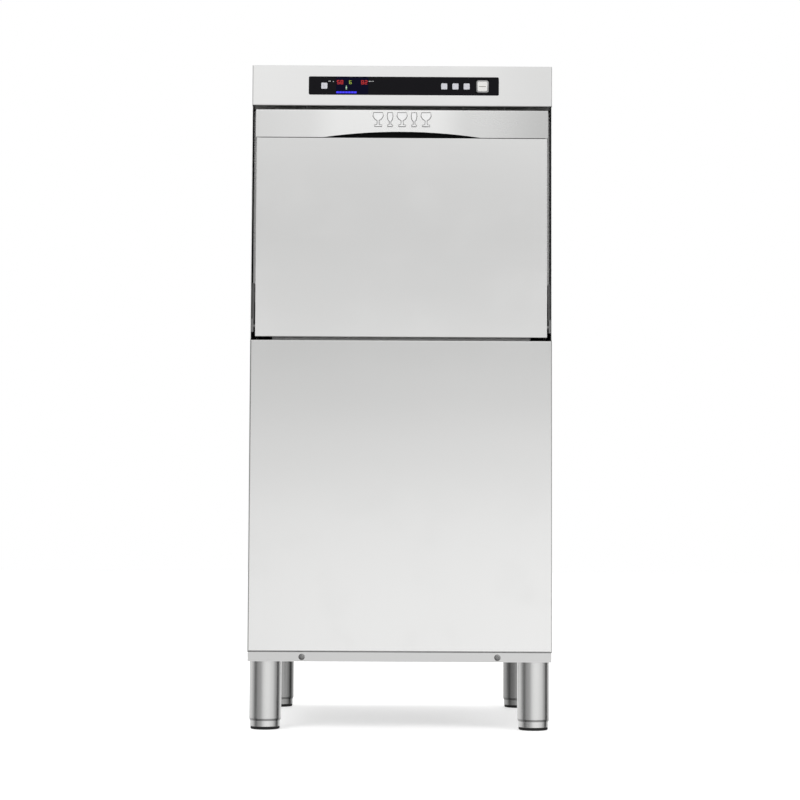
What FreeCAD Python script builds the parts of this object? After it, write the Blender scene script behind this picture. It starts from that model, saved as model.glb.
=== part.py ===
"""Front-loading glass washer on a tall base, about 600 x 600 x 1322 mm, as an assembly of separate pieces.

Frame: +Z up, the front faces -Y, the origin lies on the floor under the middle of the machine. Millimetres.
Every driving dimension is a cell of the Sizes sheet, and each sub-part is bound to those cells.
"""

import FreeCAD, Part
import math
import os
import Sketcher
from FreeCAD import Placement, Rotation, Vector

doc = FreeCAD.newDocument("glass_washer")

# ---------------------------------------------------------------- driving dimensions

SIZES = [
    # casing
    ("body_width", 600, "outer width of the casing"),
    ("front_y", -310, "front face of the fascia and of the lower panel"),
    ("rear_y", 290, "rear face of the casing"),
    ("top_z", 1322, "top of the machine"),
    ("base_z", 135, "underside of the base frame"),
    ("base_top", 153.5, "top of the base frame"),
    ("skin", 1.5, "thickness of casing and chamber sheet"),
    ("plate", 2, "thickness of the base frame's sheet"),
    ("bend", 2, "outer bend radius of the casing sheet"),
    ("panel_bend", 3.2, "outer bend radius of the lower front panel"),
    ("fascia_z", 1240.6, "underside of the control fascia"),
    ("fascia_depth", 41, "depth of the control fascia"),
    ("panel_top", 770.5, "top of the lower front panel"),
    ("panel_depth", 24, "depth of the lower front panel's returns"),
    ("hem", 12, "height of the top cover's hem"),
    ("screw_x", 192.5, "distance of the two front screws from the middle"),
    ("screw_z", 144, "height of the two front screws"),
    ("proud", 1.5, "how far the front screws and the start key stand out"),
    ("fitting_y", 311.5, "outer end of the rear fittings"),
    ("fitting_z", 235, "height of the rear fittings"),
    # legs
    ("leg_x", 266, "distance of a leg's axis from the middle"),
    ("leg_inset", 46, "distance of a leg's axis from the casing's front or rear face"),
    ("leg_radius", 31.75, "outer radius of a leg tube"),
    ("leg_bore", 30.2, "inner radius of a leg tube"),
    ("leg_bottom", 17, "lower end of a leg tube"),
    ("foot_radius", 29.75, "outer radius of an adjustable foot"),
    ("pad_radius", 28.2, "radius of the foot's pad"),
    ("pad_height", 5, "height of the foot's pad"),
    ("stem_radius", 8, "radius of the foot's threaded stem"),
    # controls
    ("overlay_left", -187, "left end of the black control overlay"),
    ("overlay_right", 193.4, "right end of the black control overlay"),
    ("overlay_low", 1262.8, "lower edge of the control overlay"),
    ("overlay_high", 1299.6, "upper edge of the control overlay"),
    ("overlay_corner", 3, "corner radius of the control overlay"),
    ("key_side", 12.4, "side of a small key"),
    ("key_z", 1280.8, "height of the row of keys"),
    ("key_travel", 1, "travel of a key"),
    ("on_off_x", -156, "place of the on/off key"),
    ("program_x", 84, "place of the first program key"),
    ("key_pitch", 22.5, "distance from one program key to the next"),
    ("start_x", 160.5, "place of the start key"),
    ("start_side", 26.8, "side of the start key"),
    ("display_left", -132.5, "left end of the display window"),
    ("display_right", -68, "right end of the display window"),
    # door
    ("door_half", 290, "half the width of the door's outer skin"),
    ("handle_half", 292, "half the width of the door's handle strip"),
    ("door_low", 776.5, "lower edge of the door"),
    ("door_high", 1234, "upper edge of the door"),
    ("door_front", -309, "front face of the door's outer skin"),
    ("door_back", -270.5, "inner face of the door"),
    ("grip_z", 1177, "lower edge of the handle strip"),
    ("grip_depth", 24, "depth of the finger recess behind the handle strip"),
    ("arch_half", 157, "half the width of the arch in the handle strip"),
    ("arch_rise", 11.5, "height of the arch in the handle strip"),
    ("hinge_y", -298, "place of the door's hinge axis"),
    ("hinge_z", 798, "height of the door's hinge axis"),
    ("hinge_pin", 4, "radius of the hinge pins"),
    ("lever_arm", 31.8, "distance of the lever's pin behind and below the hinge axis"),
    ("rod_x", 278, "distance of a balance rod from the middle"),
    ("rod_radius", 4, "radius of a balance rod"),
    ("rod_low", 552, "lower end of a balance rod"),
    ("spring_top", 716, "fixed upper end of a balance spring"),
    ("spring_radius", 10.5, "outer radius of a balance spring"),
    ("running", 0.06, "radial clearance of a pivot"),
    # chamber
    ("chamber_half", 258, "half the inner width of the wash chamber"),
    ("chamber_front", -262, "front face of the chamber's door frame"),
    ("chamber_back", 250, "inner face of the chamber's back wall"),
    ("chamber_low", 800, "joint of chamber walls and tank"),
    ("chamber_high", 1233, "underside of the chamber roof"),
    ("opening_half", 252, "half the width of the door opening"),
    ("sill_z", 815, "lower edge of the door opening"),
    ("lintel_z", 1226, "upper edge of the door opening"),
    ("seal_width", 10, "width of the door seal"),
    ("seal_depth", 8, "depth of the door seal"),
    ("rail_z", 826, "surface that a rack slides on"),
    ("rail_width", 20, "width of a rack rail"),
    ("ledge_z", 770, "ledge that the tank filter lies on"),
    ("tank_low", 690, "underside of the tank"),
    ("tank_half", 241.5, "half the outer width of the tank below its ledge"),
    ("sump_x", -130, "place of the tank's suction sump"),
    ("sump_radius", 51.5, "outer radius of the suction sump"),
    ("drain_x", 130, "place of the tank's drain"),
    ("port_y", 110, "place of sump and drain from front to back"),
    ("inlet_collar", 17, "radius of the water inlet's collar"),
    ("drain_collar", 24, "radius of the drain pipe's collar"),
    ("louvre_z", 420, "height of the lowest louvre of the rear panel"),
    ("filter_pitch", 30, "pitch of the tank filter's holes"),
    ("filter_hole", 5, "radius of the tank filter's holes"),
    # spray system
    ("spray_y", -6, "place of the spray arms' axis"),
    ("arm_reach", 244, "length of one side of a wash arm"),
    ("arm_width", 32, "width of a wash arm"),
    ("arm_height", 12, "height of a wash arm"),
    ("rinse_reach", 232, "length of one side of a rinse arm"),
    ("rinse_radius", 6, "radius of a rinse arm's tube"),
    ("low_hub", 782, "underside of the lower wash arm's hub"),
    ("high_hub", 1203, "underside of the upper wash arm's hub"),
    ("hub_height", 19, "height of a wash arm's hub"),
    ("collar", 12, "radius of the spindle inside a wash arm"),
    ("spindle", 8, "radius of the spindle inside a rinse arm"),
    ("hose_bore", 14.1, "inner radius of the delivery hose"),
    ("hose_radius", 16, "outer radius of the delivery hose"),
    ("hose_bend", 30, "bend radius of the delivery hose"),
    ("riser_y", 268, "place of the riser behind the chamber"),
    ("riser_high", 1288, "height of the riser above the chamber roof"),
    # wash pump
    ("pump_z", 235, "height of the wash pump's axis"),
    ("pump_outlet_y", 148, "place of the wash pump's outlet"),
    ("volute_radius", 62, "outer radius of the pump's volute"),
    ("motor_radius", 55, "outer radius of the pump's motor"),
    ("shaft_radius", 6, "radius of the pump's shaft"),
    # boiler and dosing pump
    ("boiler_x", 190, "place of the boiler"),
    ("boiler_y", -120, "place of the boiler from front to back"),
    ("boiler_low", 210, "underside of the boiler"),
    ("boiler_high", 510, "top of the boiler"),
    ("boiler_radius", 75, "outer radius of the boiler"),
    ("dosing_x", -268, "place of the dosing pump's axis"),
    ("dosing_y", -262, "front face of the dosing pump"),
    ("dosing_z", 440, "height of the dosing pump's axis"),
]


class Size:
    """A number together with the sheet expression that gives it."""

    def __init__(self, text, value):
        self.text, self.value = text, value

    def combined(self, other, sign, swap=False):
        left, right = self, as_size(other)
        if swap:
            left, right = right, left
        value = {
            "+": left.value + right.value,
            "-": left.value - right.value,
            "*": left.value * right.value,
            "/": left.value / right.value if right.value else 0.0,
        }[sign]
        return Size(f"({left.text} {sign} {right.text})", value)

    def __add__(self, other):
        return self.combined(other, "+")

    def __radd__(self, other):
        return self.combined(other, "+", True)

    def __sub__(self, other):
        return self.combined(other, "-")

    def __rsub__(self, other):
        return self.combined(other, "-", True)

    def __mul__(self, other):
        return self.combined(other, "*")

    def __rmul__(self, other):
        return self.combined(other, "*", True)

    def __truediv__(self, other):
        return self.combined(other, "/")

    def __neg__(self):
        return 0 - self


def as_size(x):
    return x if isinstance(x, Size) else Size(repr(float(x)), float(x))


class Cells:
    """Each driving dimension as an attribute, such as s.body_width."""


sheet = doc.addObject("Spreadsheet::Sheet", "Sizes")
s = Cells()
for row, (alias, number, note) in enumerate(SIZES, 1):
    sheet.set(f"A{row}", alias)
    sheet.set(f"B{row}", str(number))
    sheet.set(f"C{row}", note)
    sheet.setAlias(f"B{row}", alias)
    setattr(s, alias, Size(f"Sizes.{alias}", float(number)))
doc.recompute()

half = s.body_width / 2
inside = half - s.skin  # inner face of the side panels

# ---------------------------------------------------------------- helpers

kept = []  # the objects that are sub-parts


def keep(piece, label):
    piece.Label = label
    kept.append(piece)
    return piece


def bind(piece, **sizes):
    for name, size in sizes.items():
        piece.setExpression(name.replace("__", "."), as_size(size).text)
    return piece


def place(piece, x=0, y=0, z=0):
    return bind(piece, Placement__Base__x=x, Placement__Base__y=y, Placement__Base__z=z)


def side_span(side, near, far):
    """The X span from near to far of the middle, on the right (side 1) or the left (side -1)."""
    return (near, far) if side > 0 else (-far, -near)


def block(x, y, z):
    """A box over three spans, each (low, high)."""
    box = doc.addObject("Part::Box", "block")
    bind(box, Length=x[1] - x[0], Width=y[1] - y[0], Height=z[1] - z[0])
    return place(box, x[0], y[0], z[0])


TURN = {"X": Rotation(Vector(0, 1, 0), 90), "Y": Rotation(Vector(1, 0, 0), -90), "Z": Rotation()}


def rod(axis, start, radius, length):
    """A cylinder that starts at a point and runs along +X, +Y or +Z."""
    cylinder = doc.addObject("Part::Cylinder", "rod")
    cylinder.Placement = Placement(Vector(), TURN[axis])
    bind(cylinder, Radius=radius, Height=length)
    return place(cylinder, *start)


def fuse(*pieces):
    joined = doc.addObject("Part::MultiFuse", "fuse")
    joined.Shapes = list(pieces)
    return joined


def cut(base, *tools):
    result = doc.addObject("Part::Cut", "cut")
    result.Base, result.Tool = base, tools[0] if len(tools) == 1 else fuse(*tools)
    return result


def group(*pieces):
    """Separate solids that share one node."""
    together = doc.addObject("Part::Compound", "group")
    together.Links = list(pieces)
    return together


def mirror(piece, normal, at=0):
    """A copy of piece on the other side of the plane across the normal axis, at a place along it."""
    copy = doc.addObject("Part::Mirroring", "mirror")
    copy.Source, copy.Normal = piece, normal
    index = "xyz"[[abs(v) > 0.5 for v in normal].index(True)]
    return bind(copy, **{f"Base__{index}": at})


def tube(points, radius, bend):
    """A round bar along straight runs joined by tangent arcs."""
    at = [Vector(*[as_size(v).value for v in p]) for p in points]
    bend, edges, start = as_size(bend).value, [], at[0]
    for before, corner, after in zip(at, at[1:], at[2:]):
        into, out = (corner - before).normalize(), (after - corner).normalize()
        turn = into.getAngle(out)
        reach = bend * math.tan(turn / 2)
        first, last = corner - into * reach, corner + out * reach
        middle = corner + (out - into).normalize() * (bend / math.cos(turn / 2) - bend)
        edges += [Part.LineSegment(start, first).toShape(), Part.Arc(first, middle, last).toShape()]
        start = last
    edges.append(Part.LineSegment(start, at[-1]).toShape())
    spine = doc.addObject("Part::Feature", "spine")
    spine.Shape = Part.Wire(edges)
    ring = doc.addObject("Part::Circle", "ring")
    ring.Placement = Placement(at[0], Rotation(Vector(0, 0, 1), at[1] - at[0]))
    bind(ring, Radius=radius)
    sweep = doc.addObject("Part::Sweep", "tube")
    sweep.Sections, sweep.Spine, sweep.Solid = [ring], (spine, []), True
    return sweep


def new_body(name):
    return doc.addObject("PartDesign::Body", name)


def sketch(body, plane, offset=0):
    """A sketch on one of the body's planes: XY (x, y), XZ (x, z) or YZ (y, z).

    The offset moves it along Z, Y or X.
    """
    drawing = body.newObject("Sketcher::SketchObject", "sketch")
    origin_plane = [o for o in body.Origin.OriginFeatures if o.Role == plane + "_Plane"][0]
    drawing.AttachmentSupport = (origin_plane, [""])
    drawing.MapMode = "FlatFace"
    along = -as_size(offset) if plane == "XZ" else offset  # the XZ plane's normal is -Y
    return bind(drawing, AttachmentOffset__Base__z=along)


def pin_point(drawing, geometry, end, point):
    """Fixes a point of a sketch at two sizes measured from the sketch's origin."""
    for kind, size in zip(("DistanceX", "DistanceY"), point):
        size = as_size(size)
        index = drawing.addConstraint(Sketcher.Constraint(kind, -1, 1, geometry, end, size.value))
        drawing.setExpression(f"Constraints[{index}]", size.text)


def polygon(drawing, points):
    at = [Vector(as_size(x).value, as_size(y).value, 0) for x, y in points]
    first = drawing.GeometryCount
    for i, start in enumerate(at):
        drawing.addGeometry(Part.LineSegment(start, at[(i + 1) % len(at)]), False)
    for i, point in enumerate(points):
        following = first + (i + 1) % len(at)
        drawing.addConstraint(Sketcher.Constraint("Coincident", first + i, 2, following, 1))
        pin_point(drawing, first + i, 1, point)
    return drawing


def rectangle(drawing, x, y):
    return polygon(drawing, [(x[0], y[0]), (x[1], y[0]), (x[1], y[1]), (x[0], y[1])])


def rounded(drawing, x, y, radius):
    """A rectangle with a quarter circle at each corner."""
    reach = as_size(radius)
    corners = [(x[0], y[0], 1, 1), (x[1], y[0], -1, 1), (x[1], y[1], -1, -1), (x[0], y[1], 1, -1)]
    points = []
    for i, (cx, cy, right, up) in enumerate(corners):
        pair = [(cx, cy + up * reach), (cx + right * reach, cy)]
        points += pair if i % 2 == 0 else pair[::-1]
    at = [Vector(as_size(px).value, as_size(py).value, 0) for px, py in points]
    first = drawing.GeometryCount
    for i, (cx, cy, right, up) in enumerate(corners):
        start, end, following = at[2 * i], at[2 * i + 1], at[(2 * i + 2) % 8]
        corner = Vector(as_size(cx).value, as_size(cy).value, 0)
        centre = corner + Vector(right * reach.value, up * reach.value, 0)
        middle = centre + (corner - centre).normalize() * reach.value
        drawing.addGeometry(Part.Arc(start, middle, end), False)
        drawing.addGeometry(Part.LineSegment(end, following), False)
    for i in range(4):
        arc, line, following = first + 2 * i, first + 2 * i + 1, first + (2 * i + 2) % 8
        drawing.addConstraint(Sketcher.Constraint("Tangent", arc, 2, line, 1))
        drawing.addConstraint(Sketcher.Constraint("Tangent", line, 2, following, 1))
        index = drawing.addConstraint(Sketcher.Constraint("Radius", arc, reach.value))
        drawing.setExpression(f"Constraints[{index}]", reach.text)
        kind = ("Vertical", "Horizontal")[(i + 1) % 2]
        drawing.addConstraint(Sketcher.Constraint(kind, line))
    pin_point(drawing, first, 1, points[0])
    pin_point(drawing, first + 4, 1, points[4])
    return drawing


def circle(drawing, x, y, radius):
    centre = Vector(as_size(x).value, as_size(y).value, 0)
    geometry = drawing.addGeometry(Part.Circle(centre, Vector(0, 0, 1), as_size(radius).value), False)
    pin_point(drawing, geometry, 3, (x, y))
    index = drawing.addConstraint(Sketcher.Constraint("Radius", geometry, as_size(radius).value))
    drawing.setExpression(f"Constraints[{index}]", as_size(radius).text)
    return drawing


def extrude(body, kind, drawing, length, both_ways=False, reverse=False):
    feature = body.newObject("PartDesign::" + kind, kind.lower())
    feature.Profile = drawing
    feature.Midplane, feature.Reversed = both_ways, reverse
    bind(feature, Length=length)
    drawing.Visibility = False
    doc.recompute()
    return feature


def pad(body, drawing, length, **how):
    return extrude(body, "Pad", drawing, length, **how)


def pocket(body, drawing, length, **how):
    """A pocket cuts against its sketch's normal, unless it is reversed or goes both ways."""
    before = body.Shape.Volume
    feature = extrude(body, "Pocket", drawing, length, **how)
    if body.Shape.Volume >= before - 1e-6:
        raise ValueError(f"a pocket in {body.Name} cuts nothing")
    return feature


def repeat(body, feature, axis, length, count):
    """Copies a pocket or pad along its sketch's H (across) or V (up) axis."""
    drawing = feature.Profile[0]
    row = body.newObject("PartDesign::LinearPattern", "pattern")
    row.Originals, row.Direction, row.Occurrences = [feature], (drawing, [axis + "_Axis"]), count
    bind(row, Length=length)
    doc.recompute()
    return row


def revolve(body, drawing):
    feature = body.newObject("PartDesign::Revolution", "revolution")
    feature.Profile = drawing
    feature.ReferenceAxis = (drawing, ["V_Axis"])
    feature.Angle = 360
    doc.recompute()
    return feature


def fillet(body, radius, wanted):
    """Rounds the edges for which wanted(middle, direction) is true; both are vectors."""
    names = []
    for i, edge in enumerate(body.Shape.Edges, 1):
        if len(edge.Vertexes) == 2 and edge.Curve.TypeId == "Part::GeomLine":
            ends = [v.Point for v in edge.Vertexes]
            middle = (ends[0] + ends[1]) * 0.5
            if wanted(middle, (ends[1] - ends[0]).normalize()):
                names.append(f"Edge{i}")
    solid = body.Tip
    feature = body.newObject("PartDesign::Fillet", "fillet")
    feature.Base = (solid, names)
    bind(feature, Radius=radius)
    doc.recompute()
    if not names or "Invalid" in feature.State:
        raise ValueError(f"a fillet of {body.Name} on {len(names)} edge(s) fails")
    return feature


def near(a, b):
    return abs(a - as_size(b).value) < 0.01


# ---------------------------------------------------------------- base and legs


def make_base():
    """A ring of upward-open channel, and the floor plate that lies on it."""
    front, rear = s.front_y + 1, s.rear_y - 1
    inner_x, inner_front, inner_rear = s.leg_x - 33, s.front_y + 78, s.rear_y - 78
    z = (s.base_z, s.base_top)
    ring = cut(
        block((-half + 1, half - 1), (front, rear), z),
        block((-inner_x, inner_x), (inner_front, inner_rear), (s.base_z - 1, s.base_top + 1)),
    )
    wall = s.plate
    channel = cut(
        block(
            (-half + 1 + wall, half - 1 - wall),
            (front + wall, rear - wall),
            (s.base_z + wall, s.base_top + 1),
        ),
        block(
            (-inner_x - wall, inner_x + wall),
            (inner_front - wall, inner_rear + wall),
            (s.base_z, s.base_top + 2),
        ),
    )
    holes = [rod("Y", (side * s.screw_x, front - 1, s.screw_z), 3.2, 4) for side in (-1, 1)]
    for side in (-1, 1):
        for y in (s.front_y + s.leg_inset, s.rear_y - s.leg_inset):
            holes.append(rod("Z", (side * s.leg_x, y, s.base_z - 1), 5.3, 4))
    keep(cut(ring, channel, *holes), "base_frame")

    bottom = s.base_top + 0.1
    floor = block((-inside + 2, inside - 2), (s.front_y + 25, s.rear_y - 3), (bottom, bottom + s.skin))
    vents = []
    for i in range(5):
        x = -80 + 40 * i
        vent = block((as_size(x), as_size(x + 20)), (as_size(-60), as_size(20)), (bottom - 1, bottom + 3))
        vents.append(vent)
    keep(cut(floor, *vents), "floor_plate")


def make_legs():
    """Four tubes with a fixed threaded bush inside, and the feet that screw in and out of them."""
    body = new_body("leg_tube")
    drawing = sketch(body, "XZ")
    stud, bush, bore = 5, s.stem_radius + 0.08, s.leg_bore
    polygon(
        drawing,
        [
            (0, s.base_z - 3),
            (bore, s.base_z - 3),
            (bore, 92),
            (bush, 92),
            (bush, 76),
            (bore, 76),
            (bore, s.leg_bottom),
            (bore + 0.5, s.leg_bottom),
            (s.leg_radius, s.leg_bottom + 4.5),
            (s.leg_radius, s.base_z - 0.2),
            (stud, s.base_z - 0.2),
            (stud, s.base_z + 2.2),
            (8.5, s.base_z + 2.2),
            (8.5, s.base_z + 9),
            (stud, s.base_z + 9),
            (stud, s.base_z + 14),
            (0, s.base_z + 14),
        ],
    )
    revolve(body, drawing)
    place(body, s.leg_x, s.front_y + s.leg_inset)
    across = mirror(body, Vector(1, 0, 0))
    middle = (s.front_y + s.rear_y) / 2
    rear = [mirror(leg, Vector(0, 1, 0), middle) for leg in (body, across)]
    keep(group(body, across, *rear), "leg_tubes")

    for end, y in (("front", s.front_y + s.leg_inset), ("rear", s.rear_y - s.leg_inset)):
        for name, side in (("left", -1), ("right", 1)):
            foot = new_body("foot")
            drawing = sketch(foot, "XZ")
            r = s.foot_radius
            polygon(
                drawing,
                [
                    (0, 0),
                    (s.pad_radius - 1.5, 0),
                    (s.pad_radius, 1.5),
                    (s.pad_radius, s.pad_height),
                    (r - 1, s.pad_height),
                    (r, s.pad_height + 1),
                    (r, 50),
                    (r - 1.5, 50),
                    (r - 1.5, s.pad_height + 5),
                    (s.stem_radius, s.pad_height + 5),
                    (s.stem_radius, 113),
                    (s.stem_radius - 1, 114),
                    (0, 114),
                ],
            )
            revolve(foot, drawing)
            keep(place(foot, side * s.leg_x, y), f"foot_{end}_{name}")


# ---------------------------------------------------------------- casing


def make_lower_front_panel():
    """A pan with four returns; two tabs reach down behind the base frame's front for the screws."""
    body = new_body("lower_front_panel")
    back = s.front_y + s.panel_depth
    pad(body, rectangle(sketch(body, "XZ", back), (-half, half), (s.base_top, s.panel_top)), s.panel_depth)
    front, top, bottom = s.front_y.value, s.panel_top.value, s.base_top.value
    fillet(
        body,
        s.panel_bend,
        lambda m, d: near(m.y, front) and (abs(d.z) > 0.9 or near(m.z, top) or near(m.z, bottom)),
    )
    inner = rectangle(sketch(body, "XZ", back), (-inside, inside), (s.base_top + s.skin, s.panel_top - s.skin))
    pocket(body, inner, s.panel_depth - s.skin, reverse=True)
    floor = (s.front_y + s.skin).value
    fillet(body, s.panel_bend - s.skin, lambda m, d: near(m.y, floor))
    for side in (-1, 1):
        x = side_span(side, s.screw_x - 15, s.screw_x + 15)
        tab = rectangle(sketch(body, "XZ", s.front_y + 4.6), x, (s.screw_z - 7, s.base_top + 0.5))
        pad(body, tab, s.skin)
        pocket(body, circle(sketch(body, "XZ", s.front_y + 3), side * s.screw_x, s.screw_z, 3.1), 8, both_ways=True)
    keep(body, "lower_front_panel")


def screw(axis, sign, at, head, shank, height, length):
    """A pan-head screw: the head stands on the plane at, and the shank goes in from there."""
    x, y, z = at
    outer = rod(axis, (x, y if sign > 0 else y - height, z), head, height)
    inner = rod(axis, (x, y - length if sign > 0 else y, z), shank, length)
    return fuse(outer, inner)


def make_screws():
    """The two screws of the lower front panel and the eight of the rear panel."""
    screws = []
    for side in (-1, 1):
        seat = (side * s.screw_x, s.front_y + 1, s.screw_z)
        screws.append(screw("Y", -1, seat, 6.2, 3, s.proud + 1, 12))
        for z in REAR_SCREWS:
            screws.append(screw("Y", 1, (side * (half - 12), s.rear_y, as_size(z)), 5, 2, 2.5, 10))
    keep(group(*screws), "panel_screws")


REAR_SCREWS = (185, 540, 900, 1285)


def make_side_panels():
    """Flat sheets; each steps forward beside the door and back behind the fascia and the lower panel."""
    low, high = s.base_top + 0.1, s.top_z - s.hem - 0.2
    panel_back, fascia_back = s.front_y + s.panel_depth + 0.2, s.front_y + s.fascia_depth + 0.2
    door_zone = s.front_y + 2
    outline = [
        (panel_back, low),
        (s.rear_y - s.skin - 0.1, low),
        (s.rear_y - s.skin - 0.1, high),
        (fascia_back, high),
        (fascia_back, s.fascia_z - 0.5),
        (door_zone, s.fascia_z - 0.5),
        (door_zone, s.panel_top + 0.7),
        (panel_back, s.panel_top + 0.7),
    ]
    for name, side in (("left", -1), ("right", 1)):
        body = new_body("side_panel")
        at = inside if side > 0 else -half
        pad(body, polygon(sketch(body, "YZ", at), outline), s.skin)
        keep(body, f"side_panel_{name}")


def make_rear_panel():
    """A flat sheet with louvre slots, screw holes and the openings of the rear fittings."""
    body = new_body("rear_panel")
    low, high = s.base_top + 0.1, s.top_z - s.hem - 0.2
    pad(body, rectangle(sketch(body, "XZ", s.rear_y), (-half, half), (low, high)), s.skin)
    holes = sketch(body, "XZ", s.rear_y)
    for side in (-1, 1):
        for z in REAR_SCREWS:
            circle(holes, side * (half - 12), z, 2.2)
    circle(holes, VALVE_X, s.fitting_z, s.inlet_collar + 0.4)
    circle(holes, s.drain_x, s.fitting_z, s.drain_collar + 0.4)
    circle(holes, GLAND_X, s.fitting_z, 12.8)
    pocket(body, holes, 6, both_ways=True)
    louvres = sketch(body, "XZ", s.rear_y)
    for row in range(7):
        z = s.louvre_z + 14 * row
        rectangle(louvres, (as_size(-150), as_size(-70)), (z, z + 5))
    repeat(body, pocket(body, louvres, 6, both_ways=True), "H", 220, 3)
    keep(body, "rear_panel")


VALVE_X, GLAND_X = -180, 230


def make_top_cover():
    """A shallow pan upside down, from the back of the fascia to the rear panel."""
    body = new_body("top_cover")
    front = s.front_y + s.fascia_depth + 0.2
    outer = rectangle(sketch(body, "XY", s.top_z), (-half, half), (front, s.rear_y))
    pad(body, outer, s.hem, reverse=True)
    top, start = s.top_z.value, as_size(front).value
    fillet(body, s.bend, lambda m, d: near(m.z, top) and not near(m.y, start))
    hollow = sketch(body, "XY", s.top_z - s.skin)
    inner = rectangle(hollow, (-inside, inside), (front + s.skin, s.rear_y - s.skin))
    pocket(body, inner, s.hem)
    keep(body, "top_cover")


# ---------------------------------------------------------------- controls


def key_places():
    """Name, place and side of each key."""
    small = [("on_off_key", s.on_off_x)]
    small += [(f"program_key_{i + 1}", s.program_x + i * s.key_pitch) for i in range(3)]
    return [(name, x, s.key_side) for name, x in small] + [("start_key", s.start_x, s.start_side)]


def make_fascia():
    """The box-shaped control fascia, cut out for the overlay."""
    body = new_body("control_fascia")
    back = s.front_y + s.fascia_depth
    pad(body, rectangle(sketch(body, "XZ", back), (-half, half), (s.fascia_z, s.top_z)), s.fascia_depth)
    front = s.front_y.value
    fillet(body, s.bend, lambda m, d: near(m.y, front))
    inner = rectangle(sketch(body, "XZ", back), (-inside, inside), (s.fascia_z + s.skin, s.top_z - s.skin))
    pocket(body, inner, s.fascia_depth - s.skin, reverse=True)
    window = sketch(body, "XZ", s.front_y)
    gap = 0.2
    rectangle(
        window,
        (s.overlay_left - gap, s.overlay_right + gap),
        (s.overlay_low - gap, s.overlay_high + gap),
    )
    pocket(body, window, 6, both_ways=True)
    corner_x = (s.overlay_left.value - gap, s.overlay_right.value + gap)
    fillet(body, s.overlay_corner, lambda m, d: abs(d.y) > 0.9 and min(abs(m.x - x) for x in corner_x) < 0.05)
    keep(body, "control_fascia")


def make_overlay():
    """The black overlay, with a window for the display and a hole for each key."""
    body = new_body("control_overlay")
    x, z = (s.overlay_left, s.overlay_right), (s.overlay_low, s.overlay_high)
    pad(body, rectangle(sketch(body, "XZ", s.front_y + 3), x, z), 3.6)
    fillet(body, s.overlay_corner, lambda m, d: abs(d.y) > 0.9)
    holes = sketch(body, "XZ", s.front_y)
    gap = 0.3
    for _, key_x, side in key_places():
        reach = side / 2 + gap
        rectangle(holes, (key_x - reach, key_x + reach), (s.key_z - reach, s.key_z + reach))
    rectangle(holes, (s.display_left, s.display_right), (s.overlay_low + 1.5, s.overlay_high - 1.5))
    pocket(body, holes, 12, both_ways=True)
    keep(body, "control_overlay")

    lens = block(
        (s.display_left + 0.1, s.display_right - 0.1),
        (s.front_y - 0.4, s.front_y + 2.4),
        (s.overlay_low + 1.6, s.overlay_high - 1.6),
    )
    case = block(
        (s.display_left - 3, s.display_right + 3),
        (s.front_y + 3.1, s.front_y + 11),
        (s.overlay_low - 1, s.overlay_high + 1),
    )
    neck = block(
        (s.display_left + 2, s.display_right - 2),
        (s.front_y + 2, s.front_y + 5),
        (s.overlay_low + 3, s.overlay_high - 3),
    )
    keep(fuse(lens, neck, case), "display_module")


def make_keys():
    """Each key is a cap that shows through the overlay, a flange that holds it in, and a stem."""
    for name, x, side in key_places():
        body = new_body(name)
        front = s.front_y - (s.proud if name == "start_key" else 1)
        flange = s.front_y + 3.6
        reach = side / 2
        cap = sketch(body, "XZ", flange)
        rectangle(cap, (x - reach, x + reach), (s.key_z - reach, s.key_z + reach))
        pad(body, cap, flange - front)
        fillet(body, side / 6, lambda m, d: abs(d.y) > 0.9)
        face = as_size(front).value
        fillet(body, 0.5, lambda m, d: near(m.y, face))
        rim = sketch(body, "XZ", flange + 1)
        rectangle(rim, (x - reach - 1.2, x + reach + 1.2), (s.key_z - reach - 1.2, s.key_z + reach + 1.2))
        pad(body, rim, 1)
        pad(body, circle(sketch(body, "XZ", flange + 5.2), x, s.key_z, 2), 4.3)
        keep(body, name)


def make_board():
    """The circuit board on four posts, with a switch behind each key."""
    y = s.front_y + 14
    pieces = [
        block((s.overlay_left + 8, s.overlay_right - 2), (y, y + 1.6), (s.overlay_low - 8, s.overlay_high + 8)),
    ]
    for _, x, _ in key_places():
        pieces.append(block((x - 3, x + 3), (y - 3.4, y + 0.1), (s.key_z - 3, s.key_z + 3)))
    for i, x in enumerate((-40, 10, 50)):
        chip = 10 - 2 * i
        wide, tall = (as_size(x - chip), as_size(x + chip)), (s.key_z - chip, s.key_z + chip)
        pieces.append(block(wide, (y + 1.5, y + 4), tall))
    for x in (s.overlay_left + 14, s.overlay_right - 8):
        for z in (s.overlay_low - 5, s.overlay_high + 5):
            pieces.append(rod("Y", (x, s.front_y + s.skin + 0.1, z), 2, y - s.front_y - s.skin + 4))
    keep(fuse(*pieces), "control_board")


# ---------------------------------------------------------------- door


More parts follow.
